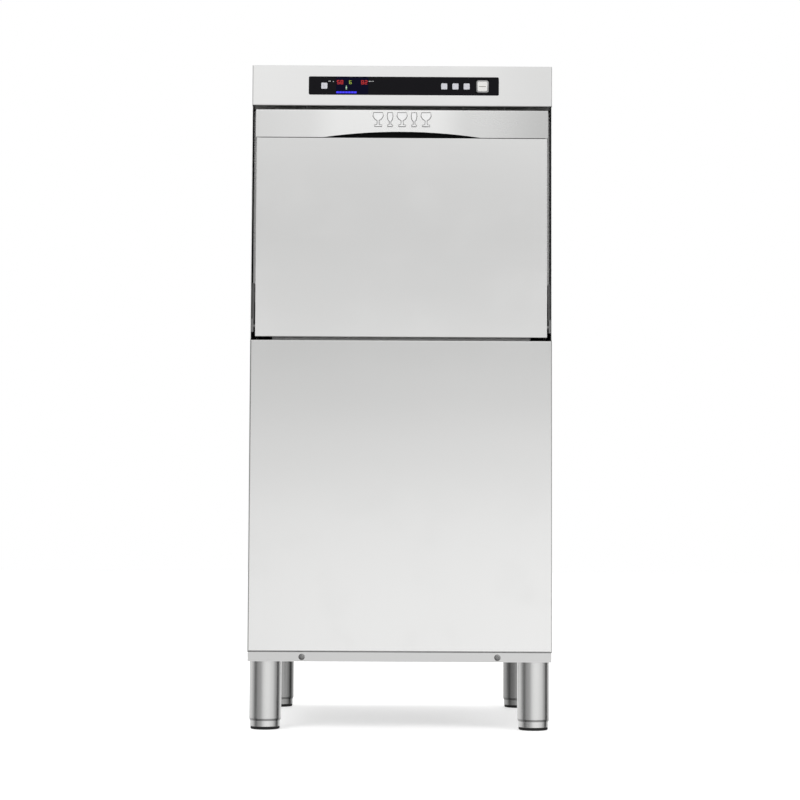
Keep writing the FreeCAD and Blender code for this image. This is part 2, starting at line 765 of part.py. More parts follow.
def make_door_skin():
    """The outer skin: a folded sheet whose top edge forms the floor and back of the finger recess."""
    body = new_body("door_outer_skin")
    t = s.skin
    ledge, back = s.grip_z - 0.6, s.door_front + s.grip_depth
    profile = [
        (s.door_front + 14, s.door_low),
        (s.door_front, s.door_low),
        (s.door_front, ledge),
        (back, ledge),
        (back, s.door_high - 4.5),
        (back + t, s.door_high - 4.5),
        (back + t, ledge - t),
        (s.door_front + t, ledge - t),
        (s.door_front + t, s.door_low + t),
        (s.door_front + 14, s.door_low + t),
    ]
    pad(body, polygon(sketch(body, "YZ"), profile), 2 * s.door_half, both_ways=True)
    front, low = s.door_front.value, s.door_low.value
    fillet(body, 1.2, lambda m, d: near(m.y, front) and abs(d.x) > 0.9)
    for side in (-1, 1):
        at = s.door_half - t if side > 0 else -s.door_half
        flank = rectangle(sketch(body, "YZ", at), (s.door_front + 1.3, back), (s.door_low + 1.3, ledge - 0.1))
        pad(body, flank, t)
    pocket(body, circle(sketch(body, "YZ"), s.hinge_y, s.hinge_z, 6), 2 * s.door_half + 4, both_ways=True)
    keep(body, "door_outer_skin")


def make_door_inner():
    """The inner panel, chamfered at the foot to clear the sill, with two ridges that guide a rack."""
    body = new_body("door_inner_panel")
    t, back = s.skin, s.door_back
    foot = 18
    width = s.door_half - 6
    profile = [
        (back - 13, s.door_high - 3),
        (back, s.door_high - 3),
        (back, s.hinge_z - 2),
        (back - foot, s.hinge_z - 2 - foot),
        (back - foot - t, s.hinge_z - 2 - foot),
        (back - foot - t, s.hinge_z - foot - 0.6),
        (back - t, s.hinge_z - 1.4),
        (back - t, s.door_high - 3 - t),
        (back - 13, s.door_high - 3 - t),
    ]
    pad(body, polygon(sketch(body, "YZ"), profile), 2 * width, both_ways=True)
    for side in (-1, 1):
        at = width - t if side > 0 else -width
        flank = rectangle(sketch(body, "YZ", at), (back - 13, back - 0.5), (s.hinge_z + 4, s.door_high - 3.5))
        pad(body, flank, t)
        x = side_span(side, s.opening_half - 14, s.opening_half - 4)
        ridge = sketch(body, "XZ", back + 2.5)
        rectangle(ridge, x, (s.sill_z + 20, s.lintel_z - 30))
        pad(body, ridge, 2.6)
    face = back.value + 2.5
    fillet(body, 2, lambda m, d: near(m.y, face))
    keep(body, "door_inner_panel")


def make_handle():
    """The handle strip across the top of the door, arched along its lower edge for the fingers."""
    body = new_body("door_handle")
    t, front = s.skin, s.front_y
    profile = [
        (front, s.grip_z),
        (front, s.door_high),
        (s.door_back, s.door_high),
        (s.door_back, s.door_high - t),
        (front + t, s.door_high - t),
        (front + t, s.grip_z),
    ]
    pad(body, polygon(sketch(body, "YZ"), profile), 2 * s.handle_half, both_ways=True)
    y, z = front.value, s.door_high.value
    fillet(body, 4, lambda m, d: near(m.y, y) and near(m.z, z) and abs(d.x) > 0.9)
    fillet(body, 2.5, lambda m, d: near(m.y, y + 1.5) and near(m.z, z - 1.5) and abs(d.x) > 0.9)
    radius = (s.arch_half * s.arch_half + s.arch_rise * s.arch_rise) / (2 * s.arch_rise)
    arch = circle(sketch(body, "XZ", front), 0, s.grip_z + s.arch_rise - radius, radius)
    pocket(body, arch, 8, both_ways=True)
    keep(body, "door_handle")

    badge = new_body("door_badge")
    z = (s.grip_z + 25, s.grip_z + 48)
    pad(badge, rectangle(sketch(badge, "XZ", front), (as_size(-60), as_size(60)), z), 1)
    fillet(badge, 11, lambda m, d: abs(d.y) > 0.9)
    keep(badge, "door_badge")


def make_hinge():
    """Levers on the door, brackets with pins on the casing, and the rods and springs that balance the door."""
    pin_y, pin_z = s.hinge_y + s.lever_arm, s.hinge_z - s.lever_arm
    levers, brackets, rods, springs, anchors = [], [], [], [], []
    for side in (-1, 1):
        body = new_body("lever")
        near_x, far_x = s.door_half - s.skin - 3, s.door_half - s.skin
        outline = [
            (s.hinge_y - 6, s.hinge_z + 52),
            (s.hinge_y + 11, s.hinge_z + 52),
            (s.hinge_y + 11, s.hinge_z + 3),
            (pin_y + 6.4, pin_z + 6.4),
            (pin_y + 6.4, pin_z - 6.4),
            (pin_y - 6.4, pin_z - 6.4),
            (s.hinge_y - 6, s.hinge_z - 6.5),
        ]
        at = near_x if side > 0 else -far_x
        pad(body, polygon(sketch(body, "YZ", at), outline), 3)
        bore = circle(sketch(body, "YZ", at + 1.5), s.hinge_y, s.hinge_z, s.hinge_pin + s.running)
        pocket(body, bore, 8, both_ways=True)
        start = s.rod_x - 6 if side > 0 else -far_x + 0.5
        levers.append(fuse(body, rod("X", (start, pin_y, pin_z), s.hinge_pin, far_x - 0.5 - s.rod_x + 6)))

        x = side_span(side, inside - 4.5, inside)
        plate = block(x, (s.hinge_y - 6, s.chamber_front - 0.2), (s.hinge_z - 12, s.hinge_z + 14))
        plate = fuse(plate, block(x, (s.hinge_y + 13, s.chamber_front - 0.2), (s.hinge_z + 13, s.hinge_z + 88)))
        start = s.door_half - 5.5 if side > 0 else -half + 4
        pin = rod("X", (start, s.hinge_y, s.hinge_z), s.hinge_pin, half - 4 - s.door_half + 5.5)
        brackets.append(fuse(plate, pin))

        eye_start = s.rod_x - 5 if side > 0 else -s.rod_x - 5
        eye = fuse(
            rod("X", (eye_start, pin_y, pin_z), 9, 10),
            rod("Z", (side * s.rod_x, pin_y, s.rod_low), s.rod_radius, pin_z - s.rod_low - 3),
            rod("Z", (side * s.rod_x, pin_y, s.rod_low + 2), s.spring_radius, 3),
            rod("Z", (side * s.rod_x, pin_y, s.rod_low - 6), 7, 8),
        )
        rods.append(cut(eye, rod("X", (eye_start - 1, pin_y, pin_z), s.hinge_pin + s.running, 12)))

        spring_low = s.rod_low + 5.2
        length = s.spring_top - 0.2 - spring_low
        outer = rod("Z", (side * s.rod_x, pin_y, spring_low), s.spring_radius, length)
        bore = rod("Z", (side * s.rod_x, pin_y, spring_low - 1), s.rod_radius + 3, length + 2)
        springs.append(cut(outer, bore))

        deep, top = (pin_y - 16, pin_y + 28), s.spring_top
        shelf = block(side_span(side, s.rod_x - 16, inside - 0.2), deep, (top, top + 4))
        flange = block(side_span(side, inside - 3.2, inside - 0.2), deep, (top - 40, top + 1))
        slot = block(
            side_span(side, s.rod_x - 4.6, s.rod_x + 4.6),
            (pin_y - 5, pin_y + 19),
            (s.spring_top - 1, s.spring_top + 5),
        )
        anchors.append(cut(fuse(shelf, flange), slot))
    keep(group(*levers), "hinge_levers")
    keep(group(*brackets), "hinge_brackets")
    keep(group(*rods), "balance_rods")
    keep(group(*springs), "balance_springs")
    keep(group(*anchors), "spring_brackets")


# ---------------------------------------------------------------- wash chamber


def make_door_frame():
    """The chamber's front frame, notched at the foot where the hinge levers swing, and the seal on it."""
    body = new_body("door_frame")
    wide, narrow = inside - 0.2, s.opening_half + s.seal_width
    low, notch, high = s.chamber_low - 10, s.hinge_z + 52, s.fascia_z - 1.5
    outline = [
        (-narrow, low),
        (narrow, low),
        (narrow, notch),
        (wide, notch),
        (wide, high),
        (-wide, high),
        (-wide, notch),
        (-narrow, notch),
    ]
    pad(body, polygon(sketch(body, "XZ", s.chamber_front + s.skin), outline), s.skin)
    opening = sketch(body, "XZ", s.chamber_front)
    rectangle(opening, (-s.opening_half, s.opening_half), (s.sill_z, s.lintel_z))
    pocket(body, opening, 8, both_ways=True)
    fillet(body, 8, lambda m, d: abs(d.y) > 0.9 and near(abs(m.x), s.opening_half))
    keep(body, "door_frame")

    seal = new_body("door_seal")
    w, x = s.seal_width, s.opening_half
    outer = rectangle(sketch(seal, "XZ", s.chamber_front), (-x - w, x + w), (s.sill_z - w, s.lintel_z + w))
    pad(seal, outer, s.seal_depth)
    fillet(seal, 14, lambda m, d: abs(d.y) > 0.9)
    inner = rectangle(sketch(seal, "XZ", s.chamber_front), (-x, x), (s.sill_z, s.lintel_z))
    pocket(seal, inner, 2 * s.seal_depth + 4, both_ways=True)
    fillet(seal, 8, lambda m, d: abs(d.y) > 0.9 and near(abs(m.x), x))
    keep(seal, "door_seal")


def make_chamber():
    """Walls bent from one sheet, the roof, and the two rails that carry a rack."""
    front = s.chamber_front + s.skin + 0.1
    outer, back = s.chamber_half + s.skin, s.chamber_back + s.skin
    walls = cut(
        block((-outer, outer), (front, back), (s.chamber_low, s.chamber_high)),
        block(
            (-s.chamber_half, s.chamber_half),
            (front - 1, s.chamber_back),
            (s.chamber_low - 1, s.chamber_high + 1),
        ),
    )
    keep(walls, "chamber_walls")
    roof = block((-outer, outer), (front, back), (s.chamber_high + 0.05, s.chamber_high + s.skin))
    keep(cut(roof, rod("Z", (0, s.spray_y, s.chamber_high - 1), 16.3, 4)), "chamber_roof")

    rails = []
    for side in (-1, 1):
        wall = s.chamber_half - 0.1
        run = (s.chamber_front + 12, s.chamber_back - 5)
        flat = block(side_span(side, wall - s.rail_width, wall), run, (s.rail_z - s.skin, s.rail_z))
        lip = block(side_span(side, wall - s.skin, wall), run, (s.rail_z - 1, s.rail_z + 14))
        edge = block(
            side_span(side, wall - s.rail_width, wall - s.rail_width + s.skin),
            run,
            (s.rail_z - 8, s.rail_z - 0.5),
        )
        rails.append(fuse(flat, lip, edge))
    keep(group(*rails), "rack_rails")


def make_tank():
    """The tank: a shallow upper part with a ledge for the filter, a lower part, a sump and two spigots."""
    body = new_body("wash_tank")
    t, outer = s.skin, s.chamber_half + s.skin
    front, back = s.chamber_front + s.skin + 0.1, s.chamber_back + s.skin
    low_front, low_back = -s.tank_half, s.tank_half - 8
    top = s.chamber_low - 0.05
    upper = rectangle(sketch(body, "XY", s.ledge_z - t), (-outer, outer), (front, back))
    pad(body, upper, top - s.ledge_z + t)
    lower = rectangle(sketch(body, "XY", s.tank_low), (-s.tank_half, s.tank_half), (low_front, low_back))
    pad(body, lower, s.ledge_z - t - s.tank_low)
    split = as_size(s.ledge_z - t).value
    fillet(body, 30, lambda m, d: abs(d.z) > 0.9 and m.z < split)
    ends = ((s.sump_x, s.sump_radius, 50, 20), (s.drain_x, as_size(20), 10, 17))
    for x, radius, depth, spigot in ends:
        pad(body, circle(sketch(body, "XY", s.tank_low - depth), x, s.port_y, radius), depth + 0.5)
        pad(body, circle(sketch(body, "XY", s.tank_low - depth - 20), x, s.port_y, spigot), 20.5)
    well = rounded(
        sketch(body, "XY", s.ledge_z + 1),
        (-s.tank_half + t, s.tank_half - t),
        (low_front + t, low_back - t),
        30 - t,
    )
    pocket(body, well, s.ledge_z + 1 - s.tank_low - t)
    upper = rectangle(
        sketch(body, "XY", s.chamber_low + 1),
        (-s.chamber_half, s.chamber_half),
        (front + t, s.chamber_back),
    )
    pocket(body, upper, s.chamber_low + 1 - s.ledge_z)
    for x, radius, depth, spigot in ends:
        pocket(body, circle(sketch(body, "XY", s.tank_low + t + 1), x, s.port_y, radius - t), depth + 1)
        pocket(body, circle(sketch(body, "XY", s.tank_low + t), x, s.port_y, spigot - 2), depth + 30)
    pocket(body, circle(sketch(body, "XY", s.tank_low + t + 1), 0, s.spray_y, 20.3), 6)
    keep(body, "wash_tank")


def make_tank_filter():
    """A sheet with rows of holes that lies on the tank's ledge round the spray pillar."""
    body = new_body("tank_filter")
    y = (s.chamber_front + 12, s.chamber_back - 8)
    pad(body, rectangle(sketch(body, "XY", s.ledge_z + 0.1), (as_size(-250), as_size(250)), y), s.skin)
    fillet(body, 20, lambda m, d: abs(d.z) > 0.9)
    column = sketch(body, "XY", s.ledge_z + 5)
    for i in range(-7, 8):
        circle(column, -7 * s.filter_pitch, s.spray_y + i * s.filter_pitch, s.filter_hole)
    repeat(body, pocket(body, column, 8), "H", 14 * s.filter_pitch, 15)
    pocket(body, circle(sketch(body, "XY", s.ledge_z + 5), 0, s.spray_y, 24), 8)
    keep(body, "tank_filter")


def make_tank_element():
    """The tank's heating element: a bar bent into a long loop with both ends in a block at the front."""
    x, y, z, reach = as_size(60), -s.tank_half + 12, s.tank_low + 22, 200
    loop = tube(
        [(x - 18, y - 6, z), (x - 18, y + reach, z), (x + 18, y + reach, z), (x + 18, y - 6, z)],
        4,
        14,
    )
    ends = block((x - 30, x + 30), (y - 8, y - 4), (z - 14, z + 14))
    keep(fuse(loop, ends), "tank_element")


# ---------------------------------------------------------------- spray system


def make_manifolds():
    """The lower pillar and the upper hanger that feed and carry the spray arms, and their nuts."""
    y, low, high = s.spray_y, s.low_hub, s.high_hub
    hub = s.hub_height
    pillar = fuse(
        rod("Z", (0, y, s.tank_low - 45), 20, low - 1 - s.tank_low + 45),
        rod("Z", (0, y, s.tank_low - 65), s.hose_bore - 0.2, 21),
        rod("Z", (0, y, low - 1.5), s.collar, hub + 1.5),
        rod("Z", (0, y, low + hub - 0.5), s.spindle, 15.5),
        rod("Z", (0, y, low + hub + 14), 6, 8),
    )
    bore = rod("Z", (0, y, s.tank_low - 66), s.hose_bore - 3, low - s.tank_low + 60)
    keep(cut(pillar, bore), "lower_manifold")
    hanger = fuse(
        rod("Z", (0, y, s.chamber_high + s.skin + 0.1), 30, 3),
        rod("Z", (0, y, s.chamber_high + s.skin + 2), s.hose_bore - 0.2, 20),
        rod("Z", (0, y, high + hub + 0.5), 16, s.chamber_high + s.skin + 1 - high - hub),
        rod("Z", (0, y, high - 0.5), s.collar, hub + 1.5),
        rod("Z", (0, y, high - 15), s.spindle, 15),
        rod("Z", (0, y, high - 22), 6, 8),
    )
    bore = rod("Z", (0, y, high + hub + 5), s.hose_bore - 3, 60)
    keep(cut(hanger, bore), "upper_manifold")

    nuts = []
    for z in (low + hub + 15.2, high - 22.5):
        body = new_body("nut")
        pad(body, circle(sketch(body, "XY"), 0, 0, 14), 7)
        grooves = sketch(body, "XY", 7)
        for i in range(12):
            turn = math.radians(30 * i)
            circle(grooves, 14.6 * math.cos(turn), 14.6 * math.sin(turn), 1.8)
        pocket(body, grooves, 7)
        pocket(body, circle(sketch(body, "XY", 7), 0, 0, 6 + s.running), 8)
        nuts.append(place(body, 0, y, z))
    keep(group(*nuts), "arm_nuts")


def turned(body, degrees, z):
    body.Placement = Placement(Vector(), Rotation(Vector(0, 0, 1), degrees))
    return place(body, 0, s.spray_y, z)


def make_wash_arm(label, z, degrees, jets_up):
    """A flat hollow arm with rounded ends, a hub, and a row of jet slots along each side."""
    body = new_body(label)
    reach, wide, tall = s.arm_reach, s.arm_width, s.arm_height
    hub = s.hub_height
    base = (hub - tall) / 2
    pad(body, rectangle(sketch(body, "XY", base), (-reach, reach), (-wide / 2, wide / 2)), tall)
    fillet(body, wide / 2 - 0.5, lambda m, d: abs(d.z) > 0.9)
    pad(body, circle(sketch(body, "XY", 0.5), 0, 0, 24), hub - 1)
    inside = sketch(body, "XY", base + 1.2)
    hollow = rectangle(inside, (-reach + 14, reach - 14), (-wide / 2 + 1.2, wide / 2 - 1.2))
    pocket(body, hollow, tall - 2.4, reverse=True)
    pocket(body, circle(sketch(body, "XY"), 0, 0, s.collar + s.running), 60, both_ways=True)
    jets = sketch(body, "XY", base + (tall - 0.6 if jets_up else 0.6))
    for side in (-1, 1):
        for i in range(6):
            x = side * (48 + 32 * i)
            offset = side * (4 - 8 * (i % 2))
            rectangle(jets, (as_size(x - 6), as_size(x + 6)), (as_size(offset - 1.2), as_size(offset + 1.2)))
    pocket(body, jets, 3, both_ways=True)
    keep(turned(body, degrees, z), label)


def make_rinse_arm(label, z, degrees, jets_up):
    """A round tube with closed ends, a hub, and five small nozzles along each side."""
    r, reach, hub = s.rinse_radius, s.rinse_reach, 12
    middle = as_size(hub / 2)
    nozzles = []
    for side in (-1, 1):
        for i in range(5):
            x = side * (52 + 40 * i)
            start = middle + r - 1.5 if jets_up else middle - r - 1.5
            nozzles.append(rod("Z", (as_size(x), 0, start), 3, 3))
    solid = fuse(
        rod("X", (-reach, 0, middle), r, 2 * reach),
        rod("Z", (0, 0, 0), 14, hub),
        *nozzles,
    )
    bore = rod("X", (-reach + 2, 0, middle), r - 1.2, 2 * reach - 4)
    arm = cut(solid, fuse(bore, rod("Z", (0, 0, -1), s.spindle + s.running, hub + 2)))
    keep(turned(arm, degrees, z), label)


def make_hoses():
    """The suction hose, and the delivery hose with its branch to the lower pillar."""
    start, end = s.tank_low - 50.5, as_size(-24)
    path = [(s.sump_x, s.port_y, start), (s.sump_x, s.port_y, s.pump_z), (end, s.port_y, s.pump_z)]
    keep(cut(tube(path, 24, 60), tube(path, 20.2, 60)), "suction_hose")

    y = s.pump_outlet_y
    main = [
        (0, y, s.pump_z + 65),
        (0, y, 600),
        (0, s.riser_y, 600),
        (0, s.riser_y, s.riser_high),
        (0, s.spray_y, s.riser_high),
        (0, s.spray_y, s.chamber_high + s.skin + 3.3),
    ]
    branch = [(0, y - 22, 540), (0, s.spray_y, 540), (0, s.spray_y, s.tank_low - 45.2)]
    tee = block((as_size(-19), as_size(19)), (y - 26, y + 19), (as_size(518), as_size(562)))
    outer = fuse(tube(main, s.hose_radius, s.hose_bend), tube(branch, s.hose_radius, s.hose_bend), tee)
    link = rod("Y", (0, y - 30, as_size(540)), s.hose_bore - 2, 30)
    inner = fuse(tube(main, s.hose_bore, s.hose_bend), tube(branch, s.hose_bore, s.hose_bend), link)
    keep(cut(outer, inner), "delivery_hose")


# ---------------------------------------------------------------- pump, boiler and the rest of the base compartment


def make_wash_pump():
    """Volute and motor on one axis along X, with the shaft, rotor and impeller as one turning piece."""
    y, z = s.port_y, s.pump_z
    shell = fuse(
        rod("X", (-22, y, z), s.volute_radius, 48),
        rod("X", (-45, y, z), 20, 24),
        rod("Z", (0, s.pump_outlet_y, z), s.hose_bore - 0.2, 90),
        block((as_size(-20), as_size(24)), (y - 40, y + 40), (s.base_top + 1.7, z - 40)),
    )
    hollow = fuse(
        rod("X", (-16, y, z), s.volute_radius - 9, 34),
        rod("X", (-46, y, z), 18, 40),
        rod("Z", (0, s.pump_outlet_y, z), s.hose_bore - 3, 91),
        rod("X", (10, y, z), s.shaft_radius + 1, 20),
    )
    keep(cut(shell, hollow), "wash_pump_housing")

    fins = [rod("X", (50 + 12 * i, y, z), s.motor_radius, 4) for i in range(8)]
    solid = fuse(
        rod("X", (26.1, y, z), s.motor_radius, 16),
        rod("X", (30, y, z), s.motor_radius - 4, 128),
        rod("X", (150, y, z), s.motor_radius - 1, 22),
        *fins,
        block((as_size(60), as_size(130)), (y - 18, y + 18), (z + 45, z + 78)),
        block((as_size(60), as_size(130)), (y - 45, y + 45), (s.base_top + 1.7, z - 36)),
    )
    hollow = fuse(
        rod("X", (44, y, z), 33, 100),
        rod("X", (25, y, z), s.shaft_radius + s.running, 141),
    )
    keep(cut(solid, hollow), "wash_pump_motor")

    vanes = [rod("X", (-15, y, z), 14, 4)]
    for i in range(3):
        turn = 60 * i
        vane = block((as_size(-14), as_size(-3)), (as_size(-46), as_size(46)), (as_size(-1.5), as_size(1.5)))
        vane.Placement = Placement(Vector(), Rotation(Vector(1, 0, 0), turn))
        turn = math.radians(turn)
        # the block turns about its own corner, so the corner is carried round the axis
        low_y = y - 46 * math.cos(turn) + 1.5 * math.sin(turn)
        low_z = z - 46 * math.sin(turn) - 1.5 * math.cos(turn)
        place(vane, -14, low_y, low_z)
        vanes.append(vane)
    rotor = fuse(
        rod("X", (-12, y, z), s.shaft_radius, 177),
        rod("X", (55, y, z), 32.4, 80),
        rod("X", (-4, y, z), 47, 4),
        *vanes,
    )
    keep(rotor, "wash_pump_rotor")


def make_boiler():
    """An upright hot-water tank on a skirt, and its three-loop element."""
    x, y, low, high, r = s.boiler_x, s.boiler_y, s.boiler_low, s.boiler_high, s.boiler_radius
    t = s.skin
    solid = fuse(
        rod("Z", (x, y, low), r, high - low),
        rod("Z", (x, y, s.base_top + 1.7), r - 15, low - s.base_top - 1),
        rod("Y", (x, y, low + 30), 8, r + 22),
        rod("Y", (x, y, high - 30), 8, r + 22),
    )
    hollow = fuse(
        rod("Z", (x, y, low + t), r - t, high - low - 2 * t),
        rod("Z", (x, y, s.base_top), r - 17, low - s.base_top - 2),
        rod("Z", (x, y, high - 5), 30, 10),
        rod("Y", (x, y + 20, low + 30), 6, r + 22),
        rod("Y", (x, y + 20, high - 30), 6, r + 22),
    )
    keep(cut(solid, hollow), "boiler")

    pieces = [rod("Z", (x, y, high + 0.1), 40, 8), rod("Z", (x, y, high + 7), 14, 16)]
    for i in (-1, 0, 1):
        across = x + 14 * i
        path = [
            (across, y - 18, high + 2),
            (across, y - 18, low + 60 + 20 * i),
            (across, y + 18, low + 60 + 20 * i),
            (across, y + 18, high + 2),
        ]
        pieces.append(tube(path, 4, 15))
    keep(fuse(*pieces), "boiler_element")


def make_rinse_pump():
    """The booster pump of the rinse, a small motor and head on a foot."""
    x, y, z = as_size(-200), as_size(-130), s.base_top + 60
    pump = fuse(
        rod("Y", (x, y, z), 36, 110),
        rod("Y", (x, y - 32, z), 30, 33),
        rod("Z", (x, y - 16, z), 9, 55),
        rod("Y", (x, y - 50, z), 9, 25),
        block((x - 30, x + 30), (y + 15, y + 90), (s.base_top + 1.7, z - 20)),
    )
    keep(pump, "rinse_pump")


def make_dosing_pump():
    """A peristaltic dosing pump on the left side panel, and its three-roller rotor."""
    x, y, z = s.dosing_x, s.dosing_y, s.dosing_z
    case = block((-inside + 0.2, x + 32), (y, y + 46), (z - 38, z + 38))
    ports = fuse(rod("Z", (x - 14, y + 12, z - 52), 4, 16), rod("Z", (x + 14, y + 12, z - 52), 4, 16))
    hollow = fuse(
        rod("Y", (x, y - 1, z), 25, 23),
        rod("Y", (x, y + 20, z), 4 + s.running, 20),
    )
    keep(cut(fuse(case, ports), hollow), "dosing_pump")
    rollers = []
    for i in range(3):
        turn = math.radians(90 + 120 * i)
        rollers.append(rod("Y", (x + 14.5 * math.cos(turn), y + 4, z + 14.5 * math.sin(turn)), 6, 15))
    disc = rod("Y", (x, y + 1, z), 22.5, 4)
    keep(fuse(rod("Y", (x, y + 2, z), 4, 34), disc, *rollers), "dosing_rotor")


def make_electrical_panel():
    """A mounting plate on two posts, with contactors, relay, terminal row and transformer as separate solids."""
    y = as_size(-236)
    plate = fuse(
        block((as_size(-60), as_size(250)), (y, y + s.skin), (as_size(300), as_size(560))),
        block((as_size(-60), as_size(-40)), (y, y + s.skin), (s.base_top + 1.7, as_size(301))),
        block((as_size(230), as_size(250)), (y, y + s.skin), (s.base_top + 1.7, as_size(301))),
    )
    solids = [plate]
    devices = [(-50, 40, 470, 545, 45), (0, 45, 470, 545, 50), (52, 97, 470, 545, 50), (110, 180, 460, 550, 40)]
    devices += [(190, 240, 480, 540, 30), (-50, 60, 400, 440, 30), (70, 240, 390, 445, 25), (-50, 40, 320, 380, 45)]
    for x0, x1, z0, z1, deep in devices:
        if x0 == -50 and z0 == 470:
            x1 = -8
        solids.append(block((as_size(x0), as_size(x1)), (y - deep, y - 0.1), (as_size(z0), as_size(z1))))
    keep(group(*solids), "electrical_panel")


def make_rear_fittings():
    """Water inlet valve, drain pipe and cable gland, all ending at the same distance behind the casing."""
    z, end, inner = s.fitting_z, s.fitting_y, s.rear_y - s.skin
    x = as_size(VALVE_X)
    valve = fuse(
        rod("Y", (x, inner - 26, z), 13.2, end - inner + 26),
        rod("Y", (x, inner - 2, z), s.inlet_collar, s.rear_y + 1 - inner + 2),
        block((x - 18, x + 18), (inner - 22, inner - 0.2), (z - 18, z + 18)),
        block((x - 15, x + 15), (inner - 48, inner - 20), (z - 15, z + 15)),
        rod("Z", (x, inner - 34, z + 14), 13, 42),
        rod("Y", (x, inner - 70, z), 6, 24),
    )
    keep(cut(valve, rod("Y", (x, end - 22, z), 8, 24)), "inlet_valve")

    path = [
        (s.drain_x, s.port_y, s.tank_low - 10.2),
        (s.drain_x, s.port_y, 420),
        (s.drain_x, s.port_y + 120, 420),
        (s.drain_x, s.port_y + 120, z),
        (s.drain_x, end, z),
    ]
    collar = rod("Y", (s.drain_x, s.rear_y - 8, z), s.drain_collar, 9)
    keep(cut(fuse(tube(path, 20, 45), collar), tube(path, 17.2, 45)), "drain_pipe")

    x = as_size(GLAND_X)
    gland = fuse(
        rod("Y", (x, inner - 14, z), 12.5, 20),
        rod("Y", (x, s.rear_y + 0.1, z), 15.5, 9),
        rod("Y", (x, s.rear_y + 9, z), 12.5, end - s.rear_y - 9),
        rod("Y", (x, inner - 6.1, z), 16, 6),
    )
    keep(cut(gland, rod("Y", (x, inner - 16, z), 6.5, end - inner + 20)), "cable_gland")


# ---------------------------------------------------------------- the whole machine


def make_machine():
    make_base()
    make_legs()
    make_lower_front_panel()
    make_screws()
    make_side_panels()
    make_rear_panel()
    make_top_cover()
    make_fascia()
    make_overlay()
    make_keys()
    make_board()
    make_door_skin()
    make_door_inner()
    make_handle()
    make_hinge()
    make_door_frame()
    make_chamber()
    make_tank()
    make_tank_filter()
    make_tank_element()
    make_manifolds()
    make_wash_arm("wash_arm_lower", s.low_hub, 25, True)
    make_wash_arm("wash_arm_upper", s.high_hub, 55, False)
    make_rinse_arm("rinse_arm_lower", s.low_hub + s.hub_height + 1.5, 115, True)
    make_rinse_arm("rinse_arm_upper", s.high_hub - 13.5, 150, False)
    make_hoses()
    make_wash_pump()
    make_boiler()
    make_rinse_pump()
    make_dosing_pump()
    make_electrical_panel()
    make_rear_fittings()


def write_parts():
    doc.recompute()
    for piece in doc.Objects:
        if {"Invalid", "Error"} & set(piece.State):
            raise ValueError(f"{piece.Name} ({piece.Label}) is {piece.State}")
    os.makedirs("parts", exist_ok=True)
    for old in os.listdir("parts"):
        os.remove(os.path.join("parts", old))
    for piece in kept:
        shape = piece.Shape
        if shape.isNull() or not shape.isValid() or not shape.Solids:
            raise ValueError(f"{piece.Label} has no valid solid")
        shape.exportStep(os.path.join("parts", piece.Label + ".step"))
        print(f"{piece.Label}: {len(shape.Solids)} solid(s), {shape.Volume / 1000:.1f} cm3")
    print(len(kept), "nodes")


make_machine()
write_parts()
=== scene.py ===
import math

import bmesh
import bpy
from mathutils import Matrix, Vector


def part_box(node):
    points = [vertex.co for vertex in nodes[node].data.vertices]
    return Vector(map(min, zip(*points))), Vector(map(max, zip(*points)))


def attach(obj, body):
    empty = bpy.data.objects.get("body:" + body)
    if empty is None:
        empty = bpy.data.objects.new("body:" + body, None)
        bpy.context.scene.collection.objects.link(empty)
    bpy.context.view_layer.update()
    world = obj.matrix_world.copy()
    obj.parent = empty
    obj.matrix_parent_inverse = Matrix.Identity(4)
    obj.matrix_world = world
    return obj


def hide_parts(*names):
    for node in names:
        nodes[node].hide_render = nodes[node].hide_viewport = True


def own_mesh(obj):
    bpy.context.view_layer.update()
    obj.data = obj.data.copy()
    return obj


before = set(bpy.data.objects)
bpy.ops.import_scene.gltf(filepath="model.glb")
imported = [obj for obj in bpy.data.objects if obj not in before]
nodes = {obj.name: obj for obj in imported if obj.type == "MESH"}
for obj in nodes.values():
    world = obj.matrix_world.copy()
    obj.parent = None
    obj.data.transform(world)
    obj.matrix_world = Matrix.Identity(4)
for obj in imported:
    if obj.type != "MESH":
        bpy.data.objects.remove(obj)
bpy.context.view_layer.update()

MM = 0.001
# each node's lowest and highest corner, in millimetres
BOX = {name: [[round(c / MM, 3) for c in corner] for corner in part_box(name)] for name in nodes}


def middle(name):
    """The centre of a node's box, in millimetres."""
    return [(low + high) / 2 for low, high in zip(*BOX[name])]


# ---------------------------------------------------------------- camera

CAMERA_AT = (-15.1, -4286.6, 396.7)
YAW, PITCH, ROLL = (math.radians(a) for a in (-0.196, 3.660, 0.276))

camera_data = bpy.data.cameras.new("camera")
camera_data.lens, camera_data.sensor_width = 90.45, 36
camera = bpy.data.objects.new("camera", camera_data)
bpy.context.scene.collection.objects.link(camera)
camera.matrix_world = (
    Matrix.Translation(Vector(CAMERA_AT) * MM)
    @ Matrix.Rotation(YAW, 4, "Z")
    @ Matrix.Rotation(math.pi / 2 + PITCH, 4, "X")
    @ Matrix.Rotation(ROLL, 4, "Z")
)
bpy.context.scene.camera = camera
bpy.context.scene.view_settings.view_transform = "Standard"

# ---------------------------------------------------------------- node trees


